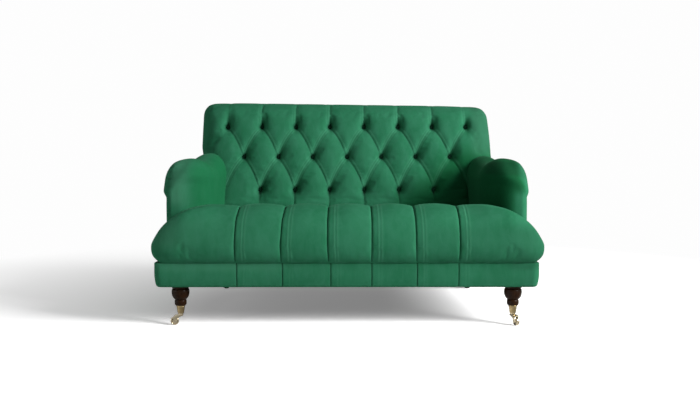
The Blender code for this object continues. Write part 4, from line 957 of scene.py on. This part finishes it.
def arm_surface(side):
    """An arm's points and faces, and how far outwards each point faces: a soft nose, a rolled top and a tail."""
    length = BASE_REAR_Y - ARM_FRONT_Y
    half = ARM_WIDTH / 2
    nose_roll, top_inner = 0.110, ARM_TOP_Z - 0.085
    tail_roll, tail_crown = 0.104, 0.147
    xs = roll(half, 0.0, 14)[::-1] + [half] + roll(half, ARM_WIDTH, 18)
    ys = roll(nose_roll, 0.0, 18)[::-1] + [nose_roll] + spread(nose_roll, length, 52)
    zs = [ARM_LOW.z] + spread(ARM_LOW.z, 0.40, 8) + spread(0.40, ARM_EDGE_Z - ARM_OVERHANG, 12)
    zs += spread(ARM_EDGE_Z - ARM_OVERHANG, ARM_EDGE_Z, 5) + spread(ARM_EDGE_Z, top_inner, 8)
    zs += roll(top_inner, ARM_TOP_Z, 12)
    points, quads = box_grid(xs, ys, zs)
    # the nose turns tightly outside and in one long curve inside
    zero = np.zeros(len(points))
    outside = smooth((points[:, 0] - 0.090) / 0.090) * (1.0 - 0.50 * smooth((points[:, 2] - 0.460) / 0.120))
    nose = mix(0.150, 0.050, outside)
    rearward = smooth((points[:, 1] - 0.08) / 0.30)
    outer = mix(0.045, mix(0.098, tail_roll, rearward), smooth((points[:, 2] - 0.500) / 0.100))
    crown = mix(mix(0.088, 0.097, rearward), mix(0.100, tail_crown, rearward), smooth((points[:, 0] - 0.060) / 0.060))
    inner = ARM_WIDTH - outer - 1 * MM
    place, out = rounded(points, (0.0, 0.0, ARM_LOW.z), (ARM_WIDTH, length, ARM_TOP_Z),
                         (np.minimum(inner, 0.120), nose, zero), (outer, zero, crown))
    world_y = mix(ARM_FRONT_Y, back_outer_y(place[:, 2]), place[:, 1] / length)
    along = np.clip((world_y - ARM_FRONT_Y) / (back_face_y(place[:, 2]) - ARM_FRONT_Y), 0.0, 1.0)
    raised = np.clip((place[:, 2] - ARM_EDGE_Z) / (ARM_TOP_Z - ARM_EDGE_Z), 0.0, 1.0)
    tail_rise = 0.006 if side < 0 else -0.010
    saddle = np.sin(math.pi * np.clip((along - 0.14) / 0.86, 0.0, 1.0)) ** 2
    place[:, 2] += (tail_rise * smooth(along) - 0.026 * saddle + 0.003 * (side > 0)) * raised
    inset = ARM_WIDTH - ARM_OVERHANG - place[:, 0]
    above = smooth((points[:, 2] - ARM_EDGE_Z + 0.018) / 0.030)
    inset += mix(ARM_OVERHANG, -2 * MM if side < 0 else 3 * MM, above) * np.maximum(out[:, 0], 0.0)
    # the outside below the roll is closed by a panel, so the padding stops just behind it there
    panel = (points[:, 2] < ARM_EDGE_Z) & (world_y > ARM_FRONT_Y + 0.050) & (inset < ARM_PANEL_THICK + CLEAR)
    inset = np.where(panel, ARM_PANEL_THICK + CLEAR, inset)
    x = half_width(world_y) - inset * TAPER_STRETCH
    # the tail keeps beside the back cushion, and no higher than where its roll meets the back's end
    wall = BACK_HIGH.x + CLEAR
    beside = smooth((world_y - padded_face_y(side * x, place[:, 2]) - 0.004) / 0.022)
    wall_inset = (half_width(world_y) - wall) / TAPER_STRETCH
    past_crown = (ARM_WIDTH - ARM_OVERHANG - wall_inset - (ARM_WIDTH - tail_roll)) / tail_roll
    past_crown = np.clip(past_crown, 0.0, 1.0)
    meets = ARM_TOP_Z + tail_rise - tail_crown * (1.0 - np.sqrt(1.0 - past_crown ** 2))
    place[:, 2] = np.where(x < wall, mix(place[:, 2], np.minimum(place[:, 2], meets), beside), place[:, 2])
    x = mix(x, np.maximum(x, wall), beside)
    result = np.stack([side * x, world_y, place[:, 2]], axis=1)
    return result, quads[:, ::-1] if side < 0 else quads, out[:, 0]


def arm_puckers(points, side):
    """Short tucks where the cloth is pulled round the nose, fading over 50 mm."""
    outer = np.abs(points[:, 0]) - (half_width(points[:, 1]) - 0.045)
    edge = smooth(outer / 0.03) * (1.0 - smooth((points[:, 1] + 0.245) / 0.05))
    total = np.zeros(len(points))
    for z, lean, strength in ((0.560, 0.15, 1.0), (0.583, 0.35, 0.6), (0.535, -0.10, 0.5)):
        line = points[:, 2] - (z + 0.035 * (side > 0)) - lean * outer
        total += strength * hump(line, 0.0, 2.6 * MM)
    return np.clip(total, 0.0, 1.0) * edge


def arm_pile(points, lean, side):
    """The painted shade and painted light on an arm: a deeper green on the left arm's inside and front and paler on
    its outer side, a deeper, darker green over the right arm's inside and nose.
    """
    y, z = points[:, 1], points[:, 2]
    nose = 1.0 - smooth((y + 0.20) / 0.12)
    from_edge = half_width(y) - side * points[:, 0]
    if side < 0:
        # the left arm: a deeper green painted over its inside and front, and painted light on its outer side
        inside = smooth((from_edge - 0.068) / 0.068) * nose
        front = inside * (1.0 - 0.4 * smooth((z - 0.595) / 0.03))
        nap_shade = np.maximum(0.65 * smooth((y + 0.250) / 0.10) * smooth(0.25 - lean), 0.62 * front)
        paler = 0.40 * smooth((from_edge - 0.014) / 0.024) * (1.0 - smooth((from_edge - 0.050) / 0.070))
        return nap_shade, paler * smooth((z - 0.44) / 0.05) * nose, 0.05 * inside
    # the right arm: painted shade over its inside and the top of its nose, less at the low outer edge
    outer = smooth((0.105 - from_edge) / 0.075) * (1.0 - smooth((z - 0.49) / 0.05)) * nose
    nap_shade = 0.90 * smooth((0.75 - lean) / 0.45) * (1.0 - outer)
    upper = smooth((z - 0.545) / 0.045) * (1.0 - 0.5 * smooth((z - 0.625) / 0.02)) * nose
    shade = 0.45 * smooth((0.60 - lean) / 0.40) * (1.0 - outer)
    return nap_shade, np.zeros(len(z)), np.maximum(shade, upper * (0.28 + 0.34 * smooth((0.75 - lean) / 0.50)))


class SOFA_OT_arms(bpy.types.Operator):
    """Upholster the two arms"""

    bl_idname = "sofa.arms"
    bl_label = "Rolled arms"

    def execute(self, context):
        padding = context.scene.sofa_padding
        for word, side in SIDES:
            result, quads, lean = arm_surface(side)
            pucker = arm_puckers(result, side)
            result[:, 0] -= side * 2.4 * MM * pucker
            arm = new_mesh_object("velvet_arm_" + word, result, quads)
            # painted shade and painted light from arm_pile, and painted shade in the tucks round the nose
            nap_shade, paler, shade = arm_pile(result, lean, side)
            paint(arm, "nap_and_painted_shade", nap_shade)
            paint(arm, "painted_highlight", paler)
            paint(arm, "fold_depth", np.maximum(0.45 * pucker, shade))
            # the simulation leaves the low part, the tail and the edge over the outside panel alone
            _, y, z = result.T
            low = 1.0 - smooth((z - 0.43) / 0.05)
            held = np.maximum(np.maximum(low, smooth(y / 0.05)), hump(z, 0.498, 0.012))
            inflate(arm, np.clip(held, 0.0, 1.0), padding.pressure, 0.006, 0.02)
            refine(arm)
            finish(arm, "sofa", VELVET, ["arm_cushion_" + word])
        return {"FINISHED"}


def base_corners(inset):
    """The rounded corners of the base's plan, anticlockwise from the front right, this far inside its edge."""
    radius = 0.030
    corners = []
    for side, y, start in ((1, BASE_FRONT_Y, -90), (1, BASE_REAR_Y, 0), (-1, BASE_REAR_Y, 90),
                           (-1, BASE_FRONT_Y, 180)):
        reach = max(radius - inset, 0.5 * MM)
        centre_y = y + (reach + inset) * (1 if y < 0 else -1)
        centre_x = side * (half_width(centre_y) - (reach + inset) * TAPER_STRETCH)
        angles = np.radians(start + np.linspace(0, 90, 9))
        corners.append(np.stack([centre_x + reach * np.cos(angles), centre_y + reach * np.sin(angles)], axis=1))
    return corners


def base_outline(inset):
    """The base seen from above, this far inside its edge, with points close together beside each pleat."""
    corners = base_corners(inset)
    left, right = corners[3][-1][0], corners[0][0][0]
    front = pleated_lines(BORDER_PLEAT_X)
    front = spread(front[0], left, 30)[:-1][::-1] + front + spread(front[-1], right, 30)[:-1]
    shares = [np.arange(1, count) / count for count in (100, 190, 100)]
    shares.append((np.array(front) - left) / (right - left))
    outline = []
    for corner, following, between in zip(corners, corners[1:] + corners[:1], shares):
        outline += [corner, mix(corner[-1], following[0], between[:, None])]
    return np.concatenate(outline)


def band_section(low, high):
    """The band's depth at each level, round its section: the face, the lip over the rails, and the inside.

    The lip's far edge has no depth of its own, because it lies under the seat.
    """
    edge, top_edge = BAND_EDGE, 1.5 * MM
    height = high - low
    angles = np.radians(np.linspace(0, 90, 5))
    face = [(edge * (1 - math.sin(a)), low + edge * (1 - math.cos(a))) for a in angles]
    face += [(0.0, low + edge + (height - 2 * edge) * s) for s in np.linspace(0.06, 0.94, 14)]
    face += [(top_edge * (1 - math.cos(a)), high - top_edge * (1 - math.sin(a))) for a in angles]
    # it draws in towards its foot, and a little towards the seam
    face = [(depth + 8 * MM * max(0.0, 1.0 - (z - low) / (0.55 * height)) ** 2
             + 0.5 * MM * max(0.0, ((z - low) / height - 0.6) / 0.4) ** 2, z) for depth, z in face]
    return face + [(BAND_WALL, high), (None, high + 0.25 * MM), (None, high + 0.1 * MM), (BAND_WALL, high - 1 * MM),
                   (BAND_WALL, mix(low, high, 0.5)), (BAND_WALL, low)]


def ring_quads(around, along):
    """The faces of a tube that closes on itself both ways, from how many points it has each way."""
    i, j = np.meshgrid(np.arange(around), np.arange(along), indexing="ij")
    after, above = (i + 1) % around, (j + 1) % along
    corners = (j * around + i, j * around + after, above * around + after, above * around + i)
    return np.stack([corner.ravel() for corner in corners], axis=1)


def eased(edge, depth, width):
    """How far a panel's face falls away this near its edge: a soft round, this deep and wide."""
    return depth * (1.0 - np.sqrt(1.0 - (1.0 - np.clip(edge / width, 0, 1)) ** 2))


class SOFA_OT_base(bpy.types.Operator):
    """Cover the band round the base and the outside panels"""

    bl_idname = "sofa.base"
    bl_label = "Base band and outside panels"

    def execute(self, context):
        self.make_band(context.scene.sofa_padding)
        self.make_back_panel()
        for word, side in SIDES:
            self.make_arm_panel(word, side)
        return {"FINISHED"}

    def make_band(self, padding):
        """The padded band: a rounded strip round the base, pleated under the seat's pleats."""
        outer, inner, covered = (base_outline(inset) for inset in (0.0, BAND_WALL, 0.050))
        low, high = BORDER_LOW.z, BORDER_HIGH.z
        section = band_section(low, high)
        rings = []
        for depth, z in section:
            flat = covered if depth is None else mix(outer, inner, depth / BAND_WALL)
            rings.append(np.column_stack([flat, np.full(len(flat), z)]))
        points = np.concatenate(rings)
        band = new_mesh_object("velvet_base_band", points, ring_quads(len(outer), len(section)))
        face = points[:, 1] < BASE_FRONT_Y + BAND_EDGE + 1 * MM
        offsets = points[:, 0][:, None] - np.array(BORDER_PLEAT_X)
        offset = offsets[np.arange(len(points)), np.abs(offsets).argmin(axis=1)]
        depth = pleat_depth(offset, 0.45 * padding.fold_depth, padding.ply_width, 0.35 * MM) * face
        share = np.clip((points[:, 2] - low) / (high - low), 0.0, 1.0)
        ripple = 0.8 * MM * wander(points, 0.12, 5) * np.sin(math.pi * share)
        ripple += 0.7 * MM * wander(points * (1.0, 1.0, 0.2), 0.022, 6) * hump(share, 1.0, 0.22)
        moved = points.copy()
        moved[:, 1] += (depth - ripple) * face
        set_places(band, moved)
        x, _, z = points.T
        # painted shade towards the right end and down each pleat's line, painted light towards the left end and
        # painted highlights on the raised creases
        darker = 0.10 * smooth((x - 0.45) / 0.15) + 0.20 * smooth((x - 0.60) / 0.05) * smooth((z - 0.215) / 0.02)
        paler = 0.22 * smooth((-x - 0.05) / 0.35) * smooth((z - 0.205) / 0.03)
        line = pleat_line(offset, 2.0 * MM, 1.3 * MM)
        paint(band, "fold_depth", np.maximum(0.95 * line * face, darker))
        paint(band, "painted_highlight", np.maximum(0.10 * ridges(offset, padding.ply_width) * face, paler))
        refine(band)
        finish(band, "sofa", VELVET, ["base_border"])

    def make_back_panel(self):
        """The outside back: velvet pulled flat over the frame, soft at its edges and rounder at its top corners."""
        half, low, high = PANEL_HIGH.x, PANEL_LOW.z, PANEL_HIGH.z
        points, quads = box_grid([-half] + spread(-half, half, 120), np.linspace(0.0, 1.0, 4),
                                 [low] + spread(low, high, 60))
        x, share, z = points.T
        edge = np.minimum(half - np.abs(x), np.minimum(z - low, high - z))
        corner = np.hypot(np.clip(np.abs(x) - half + 0.050, 0, 1), np.clip(z - high + 0.050, 0, 1))
        ease = eased(edge, 5 * MM, 9 * MM) + 14 * MM * smooth((corner - 0.044) / 0.024)
        outer = back_outer_y(z)
        face = outer - ease + 0.6 * MM * wander(points, 0.35, 9) * smooth(edge / 0.06)
        moved = np.stack([x, mix(outer - PANEL_THICK + CLEAR, face, share), z], axis=1)
        self.finish_panel("back", moved, quads, "outside_back_panel")

    def make_arm_panel(self, word, side):
        """The outside of an arm: velvet pulled flat over the frame, soft at its edges."""
        low, high = ARM_PANEL_LOW.z, ARM_PANEL_HIGH.z
        points, quads = box_grid(np.linspace(0, 1, 4), [0.0] + spread(0.0, 1.0, 70), [low] + spread(low, high, 30))
        layer, along, z = points.T
        front, rear = ARM_PANEL_LOW.y, back_outer_y(z)
        y = mix(front, rear, along)
        edge = np.minimum(np.minimum(y - front, rear - y), np.minimum(z - low, high - z))
        inset = mix(ARM_PANEL_THICK, eased(edge, 4 * MM, 8 * MM), layer)
        moved = np.stack([side * (half_width(y) - inset * TAPER_STRETCH), y, z], axis=1)
        self.finish_panel("arm_" + word, moved, quads if side > 0 else quads[:, ::-1], "outside_arm_panel_" + word)

    def finish_panel(self, word, points, quads, node):
        """Makes a panel of velvet without folds."""
        panel = new_mesh_object("velvet_outside_" + word, points, quads)
        paint(panel, "fold_depth", np.zeros(len(points)))
        finish(panel, "sofa", VELVET, [node])


# ---------------------------------------------------------------- legs and castors


def turned(name, rings, sides, unit=1.0):
    """Turns a piece about Z from radius and height pairs: a ring, extruded and scaled from one to the next."""
    tip = 2e-6
    radius, z = max(rings[0][0] * unit, tip), rings[0][1] * unit
    bpy.ops.object.select_all(action="DESELECT")
    bpy.ops.mesh.primitive_circle_add(vertices=sides, radius=radius, fill_type="NOTHING", location=(0, 0, z))
    obj = bpy.context.object
    obj.name = name
    bpy.ops.object.transform_apply(location=True, rotation=True, scale=True)
    bpy.ops.object.mode_set(mode="EDIT")
    for next_radius, next_z in rings[1:]:
        next_radius, next_z = max(next_radius * unit, tip), next_z * unit
        bpy.ops.mesh.extrude_region_move(TRANSFORM_OT_translate={"value": (0, 0, next_z - z)})
        share = next_radius / radius
        bpy.ops.transform.resize(value=(share, share, 1.0), center_override=(0, 0, next_z))
        radius, z = next_radius, next_z
    bpy.ops.mesh.select_all(action="SELECT")
    bpy.ops.mesh.remove_doubles(threshold=0.02 * MM)
    bpy.ops.mesh.normals_make_consistent(inside=False)
    bpy.ops.object.mode_set(mode="OBJECT")
    obj.data.name = name
    bpy.ops.object.shade_smooth_by_angle(angle=math.radians(35.0))
    return obj


def mirrored(rings):
    """These rings and then the same ones below, for a piece that is alike at both ends."""
    return list(rings) + [(radius, -z) for radius, z in rings[::-1]]


def put(obj, matrix):
    """Places the object's mesh, so that the object itself stays at the origin."""
    obj.data.transform(matrix)
    obj.data.update()


def middle_of(node):
    """The sideways move from the origin to the middle of a solid."""
    low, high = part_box(node)
    middle = (low + high) / 2
    return Matrix.Translation((middle.x, middle.y, 0.0))


def rounded_copy(name, node, width, angle):
    """A copy of a plain solid with the edges sharper than this angle rounded."""
    obj = bpy.data.objects.new(name, frame["nodes"][node].data.copy())
    bpy.context.scene.collection.objects.link(obj)
    obj.data.materials.clear()
    only(obj)
    bpy.ops.object.mode_set(mode="EDIT")
    bpy.ops.mesh.select_all(action="SELECT")
    bpy.ops.mesh.remove_doubles(threshold=0.01 * MM)
    bpy.ops.mesh.dissolve_limited(angle_limit=math.radians(1.0))
    bpy.ops.object.mode_set(mode="OBJECT")
    bevel = obj.modifiers.new("rounding", "BEVEL")
    bevel.width = width
    bevel.segments = 2
    bevel.limit_method = "ANGLE"
    bevel.angle_limit = math.radians(angle)
    bpy.ops.object.modifier_apply(modifier=bevel.name)
    bpy.ops.object.shade_smooth_by_angle(angle=math.radians(40.0))
    return obj


# Radius and height shares of a front leg above its cup, from the top down
LEG_SHARES = ((0.97, 1.000), (0.985, 0.990), (0.985, 0.930), (0.97, 0.900), (0.90, 0.885), (0.865, 0.872),
              (0.87, 0.858), (0.925, 0.842), (0.965, 0.815), (0.99, 0.780), (1.00, 0.740), (1.005, 0.680),
              (1.00, 0.620), (0.98, 0.560), (0.95, 0.500), (0.905, 0.450), (0.85, 0.400), (0.78, 0.360),
              (0.71, 0.325), (0.645, 0.300), (0.615, 0.285), (0.62, 0.270), (0.65, 0.258), (0.672, 0.240),
              (0.68, 0.200), (0.68, 0.155), (0.67, 0.100), (0.66, 0.050), (0.60, 0.000))

# Radius and height in mm, of each small turned piece
GLIDE_RINGS = ((0.0, 5.0), (10.6, 5.0), (11.0, 4.6), (11.0, 1.6), (10.4, 0.5), (9.6, 0.0), (0.0, 0.0))
CUP_RINGS = ((3.4, 44.5), (11.6, 44.5), (12.0, 44.9), (14.2, 58.0), (16.4, 72.6), (16.6, 73.3), (17.6, 73.9),
             (18.3, 74.6), (18.5, 75.4), (18.4, 76.3), (17.9, 77.1), (17.4, 77.5), (16.0, 77.5), (15.7, 76.8),
             (10.5, 47.5), (3.4, 47.5), (3.4, 44.5))
WHEEL_RINGS = ((2.4, 6.25), (4.6, 6.25), (5.2, 5.9), (6.0, 4.7), (7.5, 4.2), (10.2, 4.3), (11.4, 5.2), (12.2, 6.0),
               (13.0, 6.25), (14.6, 6.1), (15.6, 5.4), (16.3, 4.2), (16.5, 2.6))
AXLE_RINGS = ((0.0, 11.0), (2.2, 10.9), (3.2, 10.5), (3.4, 10.05), (2.0, 10.05))


class SOFA_OT_legs(bpy.types.Operator):
    """Turn the front legs and shape the rear ones"""

    bl_idname = "sofa.legs"
    bl_label = "Legs"

    def execute(self, context):
        for word, _ in SIDES:
            low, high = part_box("front_leg_" + word)
            cup_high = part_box("castor_cup_" + word)[1]
            radius = (high.x - low.x) / 2
            foot = cup_high.z + CLEAR
            rings = [(0.0, high.z)]
            rings += [(share * radius * 0.9995, foot + level * (high.z - foot)) for share, level in LEG_SHARES]
            # below the foot the leg stands in its cup
            rings += [(0.0154, foot), (0.0102, low.z), (0.0, low.z)]
            leg = turned("turned_front_leg_" + word, rings, 72)
            put(leg, middle_of("front_leg_" + word))
            finish(leg, "sofa", WOOD, ["front_leg_" + word])
            rear = rounded_copy("swept_rear_leg_" + word, "rear_leg_" + word, 1.0 * MM, 25.0)
            finish(rear, "sofa", WOOD, ["rear_leg_" + word])
            glide = turned("nylon_glide_" + word, GLIDE_RINGS, 40, MM)
            put(glide, middle_of("rear_glide_" + word))
            finish(glide, "sofa", "moulded_black_nylon", ["rear_glide_" + word])
        return {"FINISHED"}


class SOFA_OT_castors(bpy.types.Operator):
    """Fit the brass cups and castors"""

    bl_idname = "sofa.castors"
    bl_label = "Brass castors"

    def execute(self, context):
        joints = {joint["name"]: joint for joint in frame["joints"]}
        for word, _ in SIDES:
            body, brass = "castor_" + word, "aged_polished_brass"
            cup = turned("brass_cup_" + word, CUP_RINGS, 72, MM)
            put(cup, middle_of("castor_cup_" + word))
            finish(cup, "sofa", brass, ["castor_cup_" + word])
            horn = rounded_copy("brass_horn_" + word, "castor_horn_" + word, 0.35 * MM, 35.0)
            finish(horn, body, brass, ["castor_horn_" + word])
            # the wheel and its axle are turned upright, and laid along the joint that they roll on
            joint = joints["castor_%s_roll" % word]
            axis = Vector(joint["axis"]).normalized()
            lay = Vector((0, 0, 1)).rotation_difference(axis).to_matrix().to_4x4()
            lay = Matrix.Translation(Vector(joint["pos_m"])) @ lay
            wheel = turned("brass_wheel_" + word, mirrored(WHEEL_RINGS) + [WHEEL_RINGS[0]], 72, MM)
            put(wheel, lay)
            finish(wheel, body + "_wheel", brass, ["castor_wheel_" + word])
            axle = turned("brass_axle_" + word, mirrored(AXLE_RINGS), 32, MM)
            put(axle, lay)
            finish(axle, body, brass, ["castor_axle_" + word])
        return {"FINISHED"}


class SOFA_OT_frame(bpy.types.Operator):
    """Finish the frame's timber, the webbing and the cloth under the seat"""

    bl_idname = "sofa.frame"
    bl_label = "Frame, webbing and bottoming"

    def execute(self, context):
        finishes = {"beech": "planed_beech", "hessian": "jute_hessian", "cambric": "black_cambric"}
        slots = {part["node"]: part["material_slot"] for part in frame["record"]["subparts"]}
        for name, node in frame["nodes"].items():
            if slots.get(name) in finishes:
                node.material_slots[0].material = finish_of(finishes[slots[name]])
        return {"FINISHED"}


# ---------------------------------------------------------------- stage


def studio_world(strength):
    """Even room light, which the camera and reflections see as white."""
    world = bpy.data.worlds.new("studio_room")
    bpy.context.scene.world = world
    world.use_nodes = True
    tree = world.node_tree
    tree.nodes.clear()
    path = add_node(tree, "ShaderNodeLightPath").outputs
    shows = add_node(tree, "ShaderNodeMath", {0: path["Is Glossy Ray"], 1: 0.55, 2: path["Is Camera Ray"]},
                     operation="MULTIPLY_ADD")
    room = add_node(tree, "ShaderNodeBackground", {"Color": (1.0, 1.0, 1.0, 1.0), "Strength": strength})
    white = add_node(tree, "ShaderNodeBackground", {"Color": opaque(PAPER_WHITE), "Strength": 1.0})
    both = add_node(tree, "ShaderNodeMixShader", {0: shows.outputs[0], 1: room.outputs[0], 2: white.outputs[0]})
    add_node(tree, "ShaderNodeOutputWorld", {"Surface": both.outputs[0]})


def add_lamp(name, place, size, watts):
    """A soft square lamp that faces the middle of the sofa."""
    data = bpy.data.lights.new(name, "AREA")
    data.shape = "SQUARE"
    data.size = size
    data.energy = watts
    lamp = bpy.data.objects.new(name, data)
    lamp.location = place
    lamp.rotation_euler = (Vector((0.0, 0.0, 0.45)) - Vector(place)).to_track_quat("-Z", "Y").to_euler()
    bpy.context.scene.collection.objects.link(lamp)


class SOFA_OT_stage(bpy.types.Operator):
    """Lay the studio floor and set up the lamps and the camera"""

    bl_idname = "sofa.stage"
    bl_label = "Studio"

    def execute(self, context):
        studio = context.scene.sofa_studio
        bpy.ops.object.select_all(action="DESELECT")
        bpy.ops.mesh.primitive_plane_add(size=60.0, location=(0.0, 0.0, 0.0))
        floor = context.object
        floor.name = "studio_floor"
        floor.data.materials.append(finish_of("matt_white_studio_paper"))
        studio_world(studio.room)
        add_lamp("key_lamp", (4.97, -2.64, 2.78), 2.6, studio.key)
        add_lamp("top_lamp", (0.2, -0.9, 3.4), 2.4, studio.top)
        add_lamp("fill_lamp", (-4.2, -1.9, 1.3), 2.4, studio.fill)
        data = bpy.data.cameras.new("front_camera")
        data.sensor_width = 36.0
        data.lens = studio.lens
        camera = bpy.data.objects.new("front_camera", data)
        leg_low, leg_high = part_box("front_leg_right")
        camera.location = (0.0, (leg_low.y + leg_high.y) / 2 - studio.distance, studio.height)
        camera.rotation_euler = (math.pi / 2 - studio.tilt, 0.0, -studio.turn)
        context.scene.collection.objects.link(camera)
        context.scene.camera = camera
        context.scene.view_settings.view_transform = "Standard"
        return {"FINISHED"}


class SOFA_PT_panel(bpy.types.Panel):
    """The sofa's pieces, sizes and colours"""

    bl_idname = "SOFA_PT_panel"
    bl_label = "Buttoned sofa"
    bl_space_type = "VIEW_3D"
    bl_region_type = "UI"
    bl_category = "Sofa"

    def draw(self, context):
        layout = self.layout
        for operator in STEPS:
            layout.operator(operator.bl_idname)
        for name in GROUPS:
            group, box = getattr(context.scene, name), layout.box()
            for value in group.__annotations__:
                box.prop(group, value)


STEPS = (SOFA_OT_stage, SOFA_OT_seat, SOFA_OT_back, SOFA_OT_buttons, SOFA_OT_arms, SOFA_OT_base, SOFA_OT_legs,
         SOFA_OT_castors, SOFA_OT_frame)
GROUPS = {"sofa_velvet": SofaVelvet, "sofa_padding": SofaPadding, "sofa_studio": SofaStudio}


def register():
    """Registers the settings, the steps and the panel."""
    for name, group in GROUPS.items():
        bpy.utils.register_class(group)
        setattr(bpy.types.Scene, name, PointerProperty(type=group))
    for step in (*STEPS, SOFA_PT_panel):
        bpy.utils.register_class(step)


def unregister():
    """Takes the settings, the steps and the panel away again."""
    for step in (SOFA_PT_panel, *reversed(STEPS)):
        bpy.utils.unregister_class(step)
    for name, group in GROUPS.items():
        delattr(bpy.types.Scene, name)
        bpy.utils.unregister_class(group)


def main():
    """Makes everything in order."""
    register()
    bpy.ops.sofa.stage()
    bpy.ops.sofa.seat()
    bpy.ops.sofa.back()
    bpy.ops.sofa.buttons()
    bpy.ops.sofa.arms()
    bpy.ops.sofa.base()
    bpy.ops.sofa.legs()
    bpy.ops.sofa.castors()
    bpy.ops.sofa.frame()


if __name__ == "__main__":
    main()
